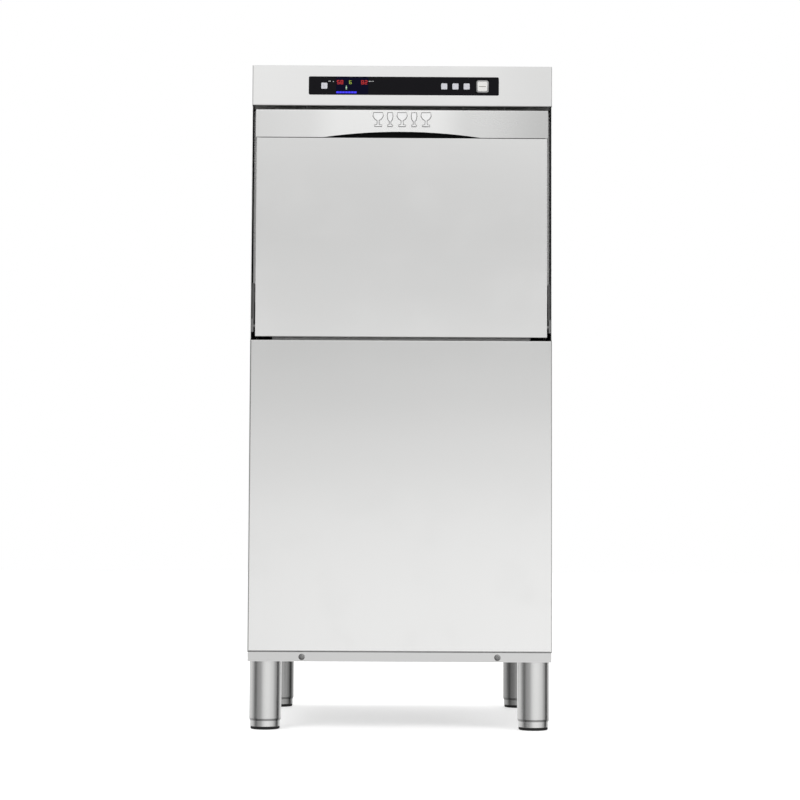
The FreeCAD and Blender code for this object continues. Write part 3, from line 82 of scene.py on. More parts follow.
class Tree:
    """Short calls that build a tree of shader nodes."""

    def __init__(self, tree):
        self.tree = tree
        self.link = tree.links.new

    def add(self, kind, **values):
        node = self.tree.nodes.new("ShaderNode" + kind)
        for key, value in values.items():
            setattr(node, key, value)
        return node

    def feed(self, sockets, values):
        """Links each socket to another node's output, or sets it to a plain value."""
        for socket, value in zip(sockets, values):
            if isinstance(value, bpy.types.NodeSocket):
                self.link(value, socket)
            else:
                socket.default_value = value

    def math(self, operation, *values):
        node = self.add("Math", operation=operation)
        self.feed(node.inputs, values)
        return node.outputs[0]

    def mix(self, factor, a, b, blend_type="MIX"):
        node = self.add("MixRGB", blend_type=blend_type)
        self.feed(node.inputs, (factor, a, b))
        return node.outputs[0]

    def axes(self, vector):
        node = self.add("SeparateXYZ")
        self.link(vector, node.inputs[0])
        return node.outputs

    def span(self, value, low, high, start=0.0, end=1.0):
        """Maps start to end onto low to high, and holds it there outside them."""
        node = self.add("MapRange")
        limits = {"From Min": start, "From Max": end, "To Min": low, "To Max": high}
        for key, limit in limits.items():
            node.inputs[key].default_value = limit
        self.link(value, node.inputs["Value"])
        return node.outputs[0]

    def ramp(self, value, stops):
        """A smooth curve through (value, level) stops."""
        first, last = stops[0][0], stops[-1][0]
        node = self.add("ValToRGB")
        self.link(self.span(value, 0, 1, first, last), node.inputs[0])
        node.color_ramp.interpolation = "EASE"
        elements = node.color_ramp.elements
        while len(elements) < len(stops):
            elements.new(0.5)
        for element, (at, level) in zip(elements, stops):
            element.position = (at - first) / (last - first)
            element.color = (level, level, level, 1)
        return node.outputs[0]


# ---------------------------------------------------------------- light

# the tone that reflections see round the room, in degrees: 0 is in front of the machine,
# and the right side is positive
ROUND_ROOM = [
    (-180, 0.80), (-125, 0.80), (-104, 0.66), (-92, 0.52), (-83, 0.30), (-74, 0.12), (-66, 0.18),
    (-53, 0.38), (-31, 0.46), (-12, 0.82), (-5, 0.97), (6, 1.02), (16, 1.05), (30, 1.03),
    (48, 0.90), (63, 0.80), (76, 0.50), (87, 0.42), (95, 0.10), (103, 0.03), (112, 0.08),
    (126, 0.55), (145, 0.80), (180, 0.80),
]
# and a factor on it from straight down, -1, to straight up, 1
ROOM_HEIGHT = [
    (-1.0, 0.30), (-0.45, 0.40), (-0.30, 0.62), (-0.18, 0.88), (-0.10, 1.20), (-0.03, 1.30),
    (0.01, 1.10), (0.045, 0.64), (0.085, 0.92), (0.13, 0.42), (0.17, 0.54), (0.23, 1.09),
    (0.35, 1.06), (0.6, 0.92), (1.0, 0.92),
]


def studio_world():
    """White to the camera; reflections see the room's tones instead."""
    world = bpy.data.worlds.new("studio")
    bpy.context.scene.world = world
    world.use_nodes = True
    w = Tree(world.node_tree)
    w.tree.nodes.clear()
    x, y, z = w.axes(w.add("TexCoord").outputs["Generated"])
    turn = w.math("ARCTAN2", x, w.math("MULTIPLY", y, -1))
    around = w.ramp(turn, [(math.radians(degrees), tone) for degrees, tone in ROUND_ROOM])
    seen, reflected = w.add("Background"), w.add("Background")
    seen.inputs[0].default_value = (1, 1, 1, 1)
    w.link(w.mix(1, around, w.ramp(z, ROOM_HEIGHT), "MULTIPLY"), reflected.inputs[0])
    is_camera = w.add("LightPath").outputs["Is Camera Ray"]
    choice = w.add("MixShader")
    w.feed(choice.inputs, (is_camera, reflected.outputs[0], seen.outputs[0]))
    w.link(choice.outputs[0], w.add("OutputWorld").inputs[0])


def softbox(name, at, aim, size, power):
    """A soft lamp that lights the machine but isn't seen in its steel."""
    data = bpy.data.lights.new(name, "AREA")
    data.shape, data.energy = "RECTANGLE", power
    data.size, data.size_y = size
    lamp = bpy.data.objects.new(name, data)
    bpy.context.scene.collection.objects.link(lamp)
    lamp.location = at
    lamp.visible_glossy = False
    lamp.rotation_euler = (Vector(aim) - Vector(at)).to_track_quat("-Z", "Y").to_euler()


studio_world()
softbox("key", (-1.9, -2.6, 2.9), (0, 0, 0.7), (1.6, 1.6), 55)
softbox("fill", (2.4, -2.2, 1.6), (0, 0, 0.6), (1.4, 1.8), 18)
softbox("top", (0.2, 0.3, 3.4), (0, 0, 0), (2.2, 2.2), 45)

# ---------------------------------------------------------------- materials


class Material(Tree):
    """A Principled material whose colour, gloss and bump are built up in steps."""

    def __init__(self, name, colour, roughness, metallic=0.0, **settings):
        self.material = bpy.data.materials.new(name)
        self.material.use_nodes = True
        super().__init__(self.material.node_tree)
        self.shader = self.tree.nodes["Principled BSDF"]
        self.colour = (*colour, 1)
        settings.update(Base_Color=self.colour, Roughness=roughness, Metallic=metallic)
        for key, value in settings.items():
            self.shader.inputs[key.replace("_", " ")].default_value = value
        self.place = self.add("TexCoord").outputs["Object"]

    def noise(self, scale, detail=4.0, stretch=(1, 1, 1), rough=0.5):
        """Noise over the object's own coordinates in metres, scaled per axis."""
        mapping, noise = self.add("Mapping"), self.add("TexNoise")
        mapping.inputs["Scale"].default_value = stretch
        self.link(self.place, mapping.inputs["Vector"])
        self.link(mapping.outputs[0], noise.inputs["Vector"])
        for key, value in (("Scale", scale), ("Detail", detail), ("Roughness", rough)):
            noise.inputs[key].default_value = value
        return noise.outputs["Fac"]

    def recolour(self, colour):
        self.colour = colour
        self.link(colour, self.shader.inputs["Base Color"])

    def tint(self, factor):
        """Multiplies the colour so far by a varying factor."""
        self.recolour(self.mix(1, self.colour, factor, "MULTIPLY"))

    def blend(self, factor, other):
        """Fades the colour so far to another where factor is 1."""
        self.recolour(self.mix(factor, self.colour, (*other, 1)))

    def rough(self, value):
        self.link(value, self.shader.inputs["Roughness"])

    def bump(self, height, strength, distance):
        node = self.add("Bump")
        node.inputs["Strength"].default_value = strength
        node.inputs["Distance"].default_value = distance
        self.link(height, node.inputs["Height"])
        self.link(node.outputs[0], self.shader.inputs["Normal"])


STREAK = {"X": (2, 300, 300), "Y": (300, 2, 300), "Z": (300, 300, 2)}
WORN = (0.80, 0.80, 0.795)
# the colour of the painted shade on faces that look down
UNDERSIDE_SHADE = (0.22, 0.22, 0.21)
DUST = (0.16, 0.16, 0.155)


def steel(name, level, roughness, grain, clouds=0.012, wear=True, marks=0.0, metal=1.0):
    """Brushed stainless steel: streaks along the grain, slow clouds, worn edges, water marks."""
    m = Material(name, (level, level, level * 0.992), roughness, metal)
    streaks = m.noise(3.2, 6, STREAK[grain], 0.6)
    coarse = m.noise(0.9, 3, STREAK[grain], 0.5)
    cloud = m.noise(2.2, 2)
    smudge = m.noise(9, 5, rough=0.6)
    tone = m.span(streaks, 0.994, 1.005, 0.25, 0.75)
    tone = m.math("MULTIPLY", tone, m.span(coarse, 0.998, 1.002, 0.3, 0.7))
    m.tint(m.math("MULTIPLY", tone, m.span(cloud, 1 - clouds, 1 + clouds, 0.3, 0.7)))
    gloss = m.span(streaks, -0.010, 0.012, 0.25, 0.75)
    gloss = m.math("ADD", gloss, m.span(cloud, -0.01, 0.012, 0.3, 0.7))
    gloss = m.math("ADD", gloss, m.span(smudge, 0.0, 0.02, 0.52, 0.72))
    gloss = m.math("ADD", gloss, roughness)
    if marks:
        drops = m.add("TexVoronoi")
        drops.inputs["Scale"].default_value = 70
        m.link(m.place, drops.inputs["Vector"])
        rings = m.span(drops.outputs["Distance"], marks, 0.0, 0.18, 0.32)
        rings = m.math("MULTIPLY", rings, m.span(smudge, 0.0, 1.0, 0.45, 0.6))
        gloss = m.math("ADD", gloss, rings)
    m.rough(gloss)
    if wear:
        bevel = m.add("Bevel", samples=4)
        bevel.inputs["Radius"].default_value = 0.0012
        dot = m.add("VectorMath", operation="DOT_PRODUCT")
        m.feed(dot.inputs, (bevel.outputs[0], m.add("NewGeometry").outputs["Normal"]))
        edge = m.span(dot.outputs["Value"], 0.5, 0.0, 0.90, 0.99)
        m.blend(m.math("MULTIPLY", edge, m.span(smudge, 0.1, 0.6)), WORN)
    m.bump(streaks, 0.006, 0.0001)
    return m


def plastic(name, colour, roughness, grain=900, strength=0.12, variation=0.06, **settings):
    """Moulded plastic: a fine spark-eroded grain and a slow change of gloss."""
    m = Material(name, colour, roughness, **settings)
    cloud, fine = m.noise(12, 3), m.noise(grain, 2)
    m.tint(m.span(cloud, 1 - variation, 1 + variation, 0.3, 0.7))
    m.rough(m.span(m.math("ADD", cloud, fine), roughness - 0.06, roughness + 0.07, 0.6, 1.4))
    m.bump(fine, strength, 0.00015)
    return m


def rubber(name, level, dust=0.05):
    """Black rubber, dusty in places."""
    m = Material(name, (level, level, level * 1.02), 0.62, Specular_IOR_Level=0.35)
    cloud, fine = m.noise(25, 4), m.noise(1400, 3)
    m.tint(m.span(cloud, 0.8, 1.3, 0.3, 0.7))
    m.blend(m.span(m.noise(60, 6), 0.0, dust * 4, 0.55, 0.8), DUST)
    m.rough(m.span(cloud, 0.52, 0.74, 0.3, 0.7))
    m.bump(fine, 0.25, 0.0002)
    return m


def cast(name, colour, roughness):
    """Cast metal with a soft orange-peel skin."""
    m = Material(name, colour, roughness, 1.0)
    cloud, fine = m.noise(16, 4), m.noise(420, 4)
    m.tint(m.span(cloud, 0.88, 1.1, 0.3, 0.7))
    m.rough(m.span(fine, roughness - 0.08, roughness + 0.1, 0.3, 0.7))
    m.bump(fine, 0.3, 0.0003)
    return m


def glow(name, colour, power):
    """A lit segment, a little uneven in brightness."""
    m = Material(
        name, [c * 0.4 for c in colour], 0.4, Emission_Color=(*colour, 1), Emission_Strength=power
    )
    m.tint(m.span(m.noise(900, 2), 0.85, 1.15, 0.3, 0.7))
    return m


def circuit_board(name):
    m = Material(name, (0.02, 0.15, 0.06), 0.35)
    tracks = m.add("TexBrick")
    tracks.inputs["Scale"].default_value = 90
    m.link(m.place, tracks.inputs["Vector"])
    m.tint(m.span(m.noise(30, 3), 0.8, 1.2, 0.3, 0.7))
    m.blend(m.span(tracks.outputs["Fac"], 0.0, 0.5), (0.35, 0.38, 0.2))
    m.rough(m.span(m.noise(300, 2), 0.28, 0.42))
    m.bump(tracks.outputs["Fac"], 0.3, 0.0002)
    return m


def heated(name):
    """A heating element's sheath, blued and browned by heat."""
    m = Material(name, (0.42, 0.36, 0.28), 0.38, 1.0)
    tone = m.noise(14, 5)
    m.tint(m.span(tone, 0.6, 1.25, 0.3, 0.7))
    m.blend(m.span(m.noise(9, 3), 0.0, 0.7, 0.5, 0.7), (0.16, 0.18, 0.30))
    m.rough(m.span(tone, 0.28, 0.5))
    m.bump(m.noise(600, 3), 0.2, 0.0002)
    return m


def paint_light_and_shade(m, stops, axis="X"):
    """Paints light and shade into the colour: it changes slowly along an axis, by (place in metres,
    factor) stops.
    """
    m.tint(m.ramp(m.axes(m.place)[axis], stops))
    return m


def painted_underside_shade(m):
    """Painted shade: faces that look down are drawn dark grey."""
    height = m.axes(m.add("NewGeometry").outputs["True Normal"])["Z"]
    m.blend(m.span(height, 0, 1, -0.8, -0.98), UNDERSIDE_SHADE)
    return m


def painted_shade_sheet(m, half_width):
    """Painted shade: a dark sheet where |x| is less than half_width, in metres, so the gaps beside
    the door look dark.
    """
    inside = m.math("LESS_THAN", m.math("ABSOLUTE", m.axes(m.place)["X"]), half_width)
    sheet, choice = m.add("BsdfPrincipled"), m.add("MixShader")
    sheet.inputs["Base Color"].default_value = (0.05, 0.05, 0.05, 1)
    sheet.inputs["Roughness"].default_value = 0.8
    m.feed(choice.inputs, (inside, m.shader.outputs[0], sheet.outputs[0]))
    m.link(choice.outputs[0], m.tree.nodes["Material Output"].inputs[0])
    return m


# painted light and shade: factors on the colours along the width, the depth and the height, in
# metres
# painted shade: the fascia darkens towards its right end
FASCIA_PAINTED_SHADE = [(-0.3, 1.0), (-0.1, 0.96), (0.1, 0.93), (0.3, 0.84)]
# painted highlight: the handle strip is brightest near the middle and duller towards the ends, most
# at the right end
HANDLE_PAINTED_HIGHLIGHT = [
    (-0.3, 0.84), (-0.2, 0.88), (-0.12, 1.0), (-0.04, 1.0), (0.06, 0.98), (0.14, 0.80), (0.3, 0.62)
]
# painted shade: the door darkens a little towards its right side and towards its top
DOOR_PAINTED_SHADE = [(-0.3, 0.98), (0.0, 0.975), (0.3, 0.955)]
DOOR_PAINTED_SHADE_RISE = [(0.776, 1.0), (0.88, 0.985), (1.0, 0.96), (1.1, 0.95), (1.18, 0.95)]
# painted shade: the lower front panel darkens towards its top
PANEL_PAINTED_SHADE_RISE = [(0.15, 1.0), (0.4, 1.0), (0.55, 0.97), (0.68, 0.93), (0.77, 0.90)]
# painted shade: the rear legs and feet are drawn darker than the front ones, as if shaded by the
# machine above them
LEG_PAINTED_SHADE = [(-0.3, 1.0), (0.0, 1.0), (0.2, 0.5), (0.3, 0.5)]
# 1.3 mm inside the outer faces of the side panels
SHADE_SHEET_TO = (BOX["side_panel_right"][1][0] - 1.3) * MM

LOOKS = {
    "fascia": painted_underside_shade(paint_light_and_shade(steel("fascia_steel", 0.98, 0.30, "X"), FASCIA_PAINTED_SHADE)),
    "handle": paint_light_and_shade(steel("handle_steel", 1.0, 0.26, "X", clouds=0.02), HANDLE_PAINTED_HIGHLIGHT),
    "door": paint_light_and_shade(paint_light_and_shade(steel("door_steel", 0.93, 0.20, "X"), DOOR_PAINTED_SHADE), DOOR_PAINTED_SHADE_RISE, "Z"),
    "panel": paint_light_and_shade(steel("panel_steel", 0.81, 0.23, "Z"), PANEL_PAINTED_SHADE_RISE, "Z"),
    "side": painted_shade_sheet(steel("side_steel", 0.82, 0.33, "Z", metal=0.75), SHADE_SHEET_TO),
    "rear": steel("rear_steel", 0.80, 0.34, "Z", metal=0.75),
    "top": steel("top_steel", 0.78, 0.32, "X"),
    "base": steel("base_steel", 0.77, 0.36, "X"),
    "leg": paint_light_and_shade(steel("leg_steel", 0.66, 0.24, "Z", clouds=0.05), LEG_PAINTED_SHADE, "Y"),
    "foot": paint_light_and_shade(steel("foot_steel", 0.68, 0.24, "X", clouds=0.06), LEG_PAINTED_SHADE, "Y"),
    "chamber": steel("chamber_steel", 0.74, 0.27, "X", clouds=0.04, marks=0.05),
    "tank": steel("tank_steel", 0.66, 0.30, "Y", clouds=0.05, marks=0.09),
    "arm": steel("arm_steel", 0.76, 0.22, "X", clouds=0.04, marks=0.04),
    "plate": steel("plate_steel", 0.24, 0.38, "Y", clouds=0.07),
    "screw": steel("screw_steel", 0.30, 0.26, "X", clouds=0.05, wear=False),
    "spring": steel("spring_steel", 0.38, 0.30, "Z", clouds=0.08, wear=False),
    "boiler": steel("boiler_steel", 0.55, 0.34, "X", clouds=0.07),
    "chrome": steel("polished_steel", 0.80, 0.10, "X", clouds=0.03, wear=False),
    "rim": steel("key_rim_steel", 0.42, 0.16, "X", clouds=0.03, wear=False),
    # painted shadow round the emblem's glasses
    "emblem_shadow": steel("badge_painted_shadow_steel", 0.20, 0.34, "X", wear=False),
    "overlay": plastic(
        "overlay_film", (0.0052, 0.0050, 0.0062), 0.20, 1500, 0.03, 0.05, Specular_IOR_Level=0.05
    ),
    "window": plastic(
        "window_film", (0.001, 0.001, 0.010), 0.12, 1500, 0.02, 0.05, Specular_IOR_Level=0.06
    ),
    # painted shade: black for the finger recess
    "recess_shade": plastic(
        "recess_shade_plastic", (0.006, 0.006, 0.006), 0.55, 700, 0.15, 0.1, Specular_IOR_Level=0.2
    ),
    "key": plastic("key_plastic", (0.43, 0.43, 0.46), 0.42, 1100, 0.08, 0.03),
    "key_face": plastic("start_key_plastic", (0.56, 0.555, 0.54), 0.35, 1100, 0.05, 0.02),
    # painted highlight: white for the shine of the polished emblem
    "emblem_highlight": plastic("emblem_painted_highlight", (0.60, 0.60, 0.60), 0.25, 500, 0.05, 0.03),
    "print": plastic("printed_mark", (0.16, 0.15, 0.13), 0.5, 900, 0.05, 0.1),
    "label": plastic("printed_label", (0.42, 0.42, 0.42), 0.5, 900, 0.05, 0.1),
    "spray": plastic("spray_plastic", (0.05, 0.16, 0.36), 0.36),
    "pump": plastic("pump_plastic", (0.03, 0.03, 0.034), 0.42),
    "dosing": plastic("dosing_plastic", (0.70, 0.70, 0.68), 0.38),
    "device": plastic("device_plastic", (0.20, 0.21, 0.22), 0.46),
    "drain": plastic("drain_plastic", (0.20, 0.20, 0.21), 0.42),
    "gland": plastic("gland_plastic", (0.018, 0.018, 0.02), 0.44),
    "seal": rubber("seal_rubber", 0.022, 0.02),
    "hose": rubber("hose_rubber", 0.026),
    "pad": rubber("pad_rubber", 0.012, 0.02),
    "motor": cast("motor_aluminium", (0.55, 0.56, 0.57), 0.42),
    "rotor": cast("rotor_steel", (0.42, 0.42, 0.43), 0.34),
    "brass": cast("inlet_brass", (0.68, 0.50, 0.22), 0.28),
    "board": circuit_board("circuit_board"),
    "element": heated("element_sheath"),
    "red": glow("red_segments", (0.55, 0.012, 0.012), 0.42),
    "green": glow("green_segments", (0.36, 0.50, 0.05), 0.42),
    "mint": glow("mint_segments", (0.40, 0.62, 0.40), 0.55),
    "blue": glow("blue_segments", (0.030, 0.022, 0.80), 0.72),
}

FINISH = {
    "fascia": ["control_fascia"],
    "handle": ["door_handle"],
    "door": ["door_outer_skin"],
    "panel": ["lower_front_panel"],
    "side": ["side_panel_left", "side_panel_right"],
    "rear": ["rear_panel"],
    "top": ["top_cover"],
    "base": ["base_frame", "floor_plate"],
    "leg": ["leg_tubes"],
    "foot": ["foot_front_left", "foot_front_right", "foot_rear_left", "foot_rear_right"],
    "chamber": ["door_inner_panel", "door_frame", "chamber_walls", "chamber_roof", "rack_rails"],
    "tank": ["wash_tank", "tank_filter"],
    "arm": ["wash_arm_lower", "wash_arm_upper", "rinse_arm_lower", "rinse_arm_upper"],
    "plate": ["hinge_levers", "hinge_brackets", "spring_brackets"],
    "spring": ["balance_rods", "balance_springs"],
    "boiler": ["boiler"],
    "rotor": ["wash_pump_rotor"],
    "chrome": ["door_badge", "panel_screws"],
    "rim": ["start_key"],
    "overlay": ["control_overlay"],
    "window": ["display_module"],
    "key": ["on_off_key", "program_key_1", "program_key_2", "program_key_3"],
    "board": ["control_board"],
    "seal": ["door_seal"],
    "hose": ["suction_hose", "delivery_hose"],
    "element": ["tank_element", "boiler_element"],
    "spray": ["lower_manifold", "upper_manifold", "arm_nuts"],
    "pump": ["wash_pump_housing", "dosing_pump"],
    "motor": ["wash_pump_motor", "rinse_pump"],
    "dosing": ["dosing_rotor"],
    "device": ["electrical_panel"],
    "brass": ["inlet_valve"],
    "drain": ["drain_pipe"],
    "gland": ["cable_gland"],
}

missing = set(nodes) - {name for names in FINISH.values() for name in names}
if missing:
    raise ValueError(f"no finish for {sorted(missing)}")
for finish, names in FINISH.items():
    for name in names:
        for material_slot in nodes[name].material_slots:
            material_slot.material = LOOKS[finish].material

# ---------------------------------------------------------------- mesh helpers


def new_piece(name, mesh, finish, body, smooth=True):
    """Links a bmesh, given in millimetres, as a piece that rides on a body."""
    bmesh.ops.recalc_face_normals(mesh, faces=mesh.faces)
    bmesh.ops.scale(mesh, vec=(MM, MM, MM), verts=mesh.verts)
    data = bpy.data.meshes.new(name)
    mesh.to_mesh(data)
    mesh.free()
    if smooth:
        data.shade_smooth()
        data.set_sharp_from_angle(angle=math.radians(35))
    piece = bpy.data.objects.new(name, data)
    bpy.context.scene.collection.objects.link(piece)
    piece.data.materials.append(LOOKS[finish].material)
    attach(piece, body)
    return piece


def loft(mesh, rings, closed_start=True):
    """Joins rings of points with faces; every ring has the same number of points."""
    made = [[mesh.verts.new(point) for point in ring] for ring in rings]
    count = len(made[0])
    for a, b in zip(made, made[1:]):
        for i in range(count):
            j = (i + 1) % count
            mesh.faces.new((a[i], a[j], b[j], b[i]))
    if closed_start:
        mesh.faces.new(made[0])
    mesh.faces.new(made[-1])


def polar_ring(reach, height, steps=48):
    """Points round the origin at a height; reach gives the radius for an angle."""
    turns = [2 * math.pi * i / steps for i in range(steps)]
    return [(reach(t) * math.cos(t), reach(t) * math.sin(t), height) for t in turns]


def circle(radius, height):
    return polar_ring(lambda turn: radius, height)


def rounded_square(centre, half, corner, y):
    """Points round a square with rounded corners, in the plane of the front."""
    steps = 6
    points = []
    for quarter in range(4):
        x = centre[0] + (half - corner) * (1 if quarter in (0, 3) else -1)
        z = centre[1] + (half - corner) * (1 if quarter in (0, 1) else -1)
        for i in range(steps + 1):
            turn = math.pi / 2 * (quarter + i / steps)
            points.append((x + corner * math.cos(turn), y, z + corner * math.sin(turn)))
    return points


def inset(outline, by):
    """The outline, anticlockwise as (x, z), moved inwards along its corners' bisectors."""
    points = [Vector(point) for point in outline]
    result = []
    for i, point in enumerate(points):
        before, after = points[i - 1], points[(i + 1) % len(points)]
        along = (point - before).normalized() + (after - point).normalized()
        result.append(point + Vector((-along.y, along.x)).normalized() * by)
    return result


def grown(outline, by):
    """The outline moved outwards, square to the line between each corner's neighbours."""
    result = []
    for i, (x, z) in enumerate(outline):
        before, after = Vector(outline[i - 1]), Vector(outline[(i + 1) % len(outline)])
        along = (after - before).normalized()
        result.append((x + along.y * by, z - along.x * by))
    return result


def slab(mesh, outline, back, front, edge=0.0):
    """A raised flat shape: an outline in (x, z), from y = back to front, its edge bevelled."""
    rings = [[(x, back, z) for x, z in outline], [(x, front + edge, z) for x, z in outline]]
    if edge:
        rings.append([(x, front, z) for x, z in inset(outline, edge)])
    loft(mesh, rings)


# ---------------------------------------------------------------- screws

FRONT = BOX["control_fascia"][0][1]
FASCIA_LOW = BOX["control_fascia"][0][2]
REAR = BOX["rear_panel"][1][1]
BASE_FRONT, BASE_LOW = BOX["base_frame"][0][1:]
FRONT_SCREW_X, FRONT_SCREW_UP = 192.5, 9.0
REAR_SCREW_X, REAR_SCREW_Z = 288.0, (185, 540, 900, 1285)
FASCIA_SCREW_X, FASCIA_SCREW_IN = (-191, -101, 120, 205), 14.0
FRONT_FACING, REAR_FACING, DOWN_FACING = -1, 1, 0


def pan_head(mesh, at, facing, radius, height, cross):
    """A domed head with a cross recess."""

    def star(scale, level):
        def reach(turn):
            return scale * (0.30 + 0.70 * abs(math.cos(2 * turn)) ** 6)

        return polar_ring(reach, height * level)

    dome = [(0.80, 0.0), (1.0, 0.30), (0.97, 0.62), (0.80, 0.90)]
    rings = [circle(radius * share, height * level) for share, level in dome]
    rings += [star(cross * 1.12, 1.0), star(cross, 0.97), star(cross * 0.7, 0.35)]
    x, y, z = at
    if facing == DOWN_FACING:
        placed = [[(x + a, y + b, z - h) for a, b, h in ring] for ring in rings]
    else:
        placed = [[(x + a, y + facing * h, z + b) for a, b, h in ring] for ring in rings]
    loft(mesh, placed, closed_start=False)


screws, small = bmesh.new(), bmesh.new()
for side in (-1, 1):
    at = (side * FRONT_SCREW_X, BASE_FRONT, BASE_LOW + FRONT_SCREW_UP)
    pan_head(screws, at, FRONT_FACING, radius=6.2, height=2.45, cross=3.3)
    for z in REAR_SCREW_Z:
        at = (side * REAR_SCREW_X, REAR, z)
        pan_head(screws, at, REAR_FACING, radius=5.0, height=2.5, cross=2.6)
for x in FASCIA_SCREW_X:
    at = (x, FRONT + FASCIA_SCREW_IN, FASCIA_LOW)
    pan_head(small, at, DOWN_FACING, radius=4.0, height=1.6, cross=2.0)
screw_heads = new_piece("panel_screw_heads", screws, "screw", "cabinet")
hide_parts("panel_screws")
new_piece("fascia_screw_heads", small, "screw", "cabinet")

# ---------------------------------------------------------------- keys

KEY_BACK = FRONT + 4.4
KEYS = ("on_off_key", "program_key_1", "program_key_2", "program_key_3")


def key_cap(name, key, half, corner, edge, front, back, finish, dish=0.0):
    """A keycap on a key's centre, with a softened edge and a slightly dished face."""
    x, _, z = middle(key)
    edge_steps = 4
    rings = [
        rounded_square((x, z), half, corner, back),
        rounded_square((x, z), half, corner, front + edge),
    ]
    for i in range(1, edge_steps + 1):
        turn = math.pi / 2 * i / edge_steps
        inwards = edge * (1 - math.cos(turn))
        y = front + edge * (1 - math.sin(turn))
        rings.append(rounded_square((x, z), half - inwards, corner - inwards * 0.6, y))
    for share in (0.7, 0.35):
        y = front + dish * (1 - share)
        rings.append(rounded_square((x, z), (half - edge) * share, corner * share * 0.8, y))
    mesh = bmesh.new()
    loft(mesh, rings)
    return new_piece(name, mesh, finish, key)


for key in KEYS:
    cap = key_cap(
        key + "_cap", key, half=6.2, corner=1.9, edge=0.9, front=FRONT - 1.0, back=KEY_BACK,
        finish="key", dish=0.35,
    )
    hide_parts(key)
rim = key_cap(
    "start_key_rim", "start_key", half=13.4, corner=5.0, edge=2.6, front=FRONT - 1.25,
    back=KEY_BACK, finish="rim", dish=0.2,
)
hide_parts("start_key")
key_cap(
    "start_key_face", "start_key", half=9.6, corner=3.4, edge=0.6, front=FRONT - 1.48,
    back=FRONT - 0.6, finish="key_face",
)

# ---------------------------------------------------------------- display and printed marks

# the lit segments of a numeral, by the usual letters a to g
SEGMENTS = {"2": "abged", "5": "afgcd", "6": "afgecd", "8": "abcdefg"}
WINDOW_FACE = FRONT - 0.4
WINDOW = BOX["display_module"][0][::2]
OVERLAY = BOX["control_overlay"][0][::2]


def bars(name, origin, boxes, y, finish, body, tall=0.03):
    """Thin printed or lit shapes on the plane y: (x0, x1, z0, z1) from an origin (x, z)."""
    mesh = bmesh.new()
    ox, oz = origin
    for x0, x1, z0, z1 in boxes:
        corners = [(x0, z0), (x1, z0), (x1, z1), (x0, z1)]
        slab(mesh, [(ox + x, oz + z) for x, z in corners], y, y - tall)
    return new_piece(name, mesh, finish, body, smooth=False)


def digit(x, z, character, wide, tall, line):
    """A numeral's lit segments as boxes, from its lower left corner."""
    mid = z + tall / 2
    left, right = (x, x + line), (x + wide - line, x + wide)
    across = (x + line * 0.4, x + wide - line * 0.4)
    lower, upper = (z + line * 0.4, mid - line * 0.2), (mid + line * 0.2, z + tall - line * 0.4)
    places = {
        "a": (*across, z + tall - line, z + tall),
        "b": (*right, *upper),
        "c": (*right, *lower),
        "d": (*across, z, z + line),
        "e": (*left, *lower),
        "f": (*left, *upper),
        "g": (*across, mid - line / 2, mid + line / 2),
    }
    return [places[segment] for segment in SEGMENTS[character]]


numbers = []
for x, text in ((4.5, "58"), (53.1, "82")):
    for i, character in enumerate(text):
        numbers += digit(x + 7.0 * i, 22.2, character, wide=5.8, tall=8.2, line=1.35)
icon = digit(29.1, 22.6, "6", wide=4.8, tall=7.4, line=1.0)
level = [(22.5, 24.7, 11.9, 13.4), (22.1, 25.1, 14.2, 16.6), (22.7, 24.5, 17.4, 19.2)]
progress = [(3.5 + 5.9 * i, 8.7 + 5.9 * i, 4.0, 7.8) for i in range(7)]
for name, boxes, finish in (
    ("display_numbers", numbers, "red"),
    ("display_icon", icon, "green"),
    ("display_level", level, "mint"),
    ("display_progress", progress, "blue"),
):
    bars(name, WINDOW, boxes, WINDOW_FACE, finish, "cabinet")

printed = [
    (39.5, 41.0, 26.4, 28.2), (41.8, 43.4, 26.4, 28.2), (48.0, 50.0, 26.0, 27.2),
    (120.0, 122.4, 26.4, 28.0), (123.4, 124.8, 26.4, 28.0), (126.0, 130.0, 27.0, 27.8),
]
bars("overlay_marks", OVERLAY, printed, FRONT - 0.6, "label", "cabinet")
bars(
    "start_key_mark", middle("start_key")[::2], [(-7.1, 7.1, -0.8, 0.6)],
    FRONT - 1.455, "print", "start_key", tall=0.04,
)


def arc(radius, angles):
    turns = [math.radians(angle) for angle in angles]
    return [(radius * math.cos(turn), radius * math.sin(turn)) for turn in turns]


# a ring that is open at the top, with a stroke in the gap
ring = arc(1.9, range(120, 421, 15)) + arc(1.35, range(420, 119, -15))
stroke = [(-0.3, 0.5), (0.3, 0.5), (0.3, 2.6), (-0.3, 2.6)]
key_x, _, key_z = middle("on_off_key")
icons = bmesh.new()
for outline in (ring, stroke):
    slab(icons, [(key_x + x, key_z + z) for x, z in outline], FRONT - 0.80, FRONT - 1.02)
new_piece("on_off_mark", icons, "label", "on_off_key", smooth=False)

# ---------------------------------------------------------------- emblem

BADGE_LOW = BOX["door_badge"][0][2]
GLASS_HEIGHT = 27
# the right side of a glass, in shares of half its width and of its height
GLASSES = {
    "goblet": [
        (0.72, 0), (0.72, 0.06), (0.16, 0.12), (0.12, 0.42), (0.62, 0.56), (0.92, 0.76), (0.84, 1.0)
    ],
    "flute": [
        (0.60, 0), (0.60, 0.06), (0.13, 0.12), (0.11, 0.36), (0.46, 0.50), (0.60, 0.76), (0.54, 1.0)
    ],
}
GLASS_WIDTH = {"goblet": 21, "flute": 17}


def stemware(x, z, kind):
    """The outline of a glass that stands on (x, z), anticlockwise."""
    half = GLASS_WIDTH[kind] / 2
    right = [(half * a, z + GLASS_HEIGHT * b) for a, b in GLASSES[kind]]
    return [(x + a, b) for a, b in right] + [(x - a, b) for a, b in right[::-1]]


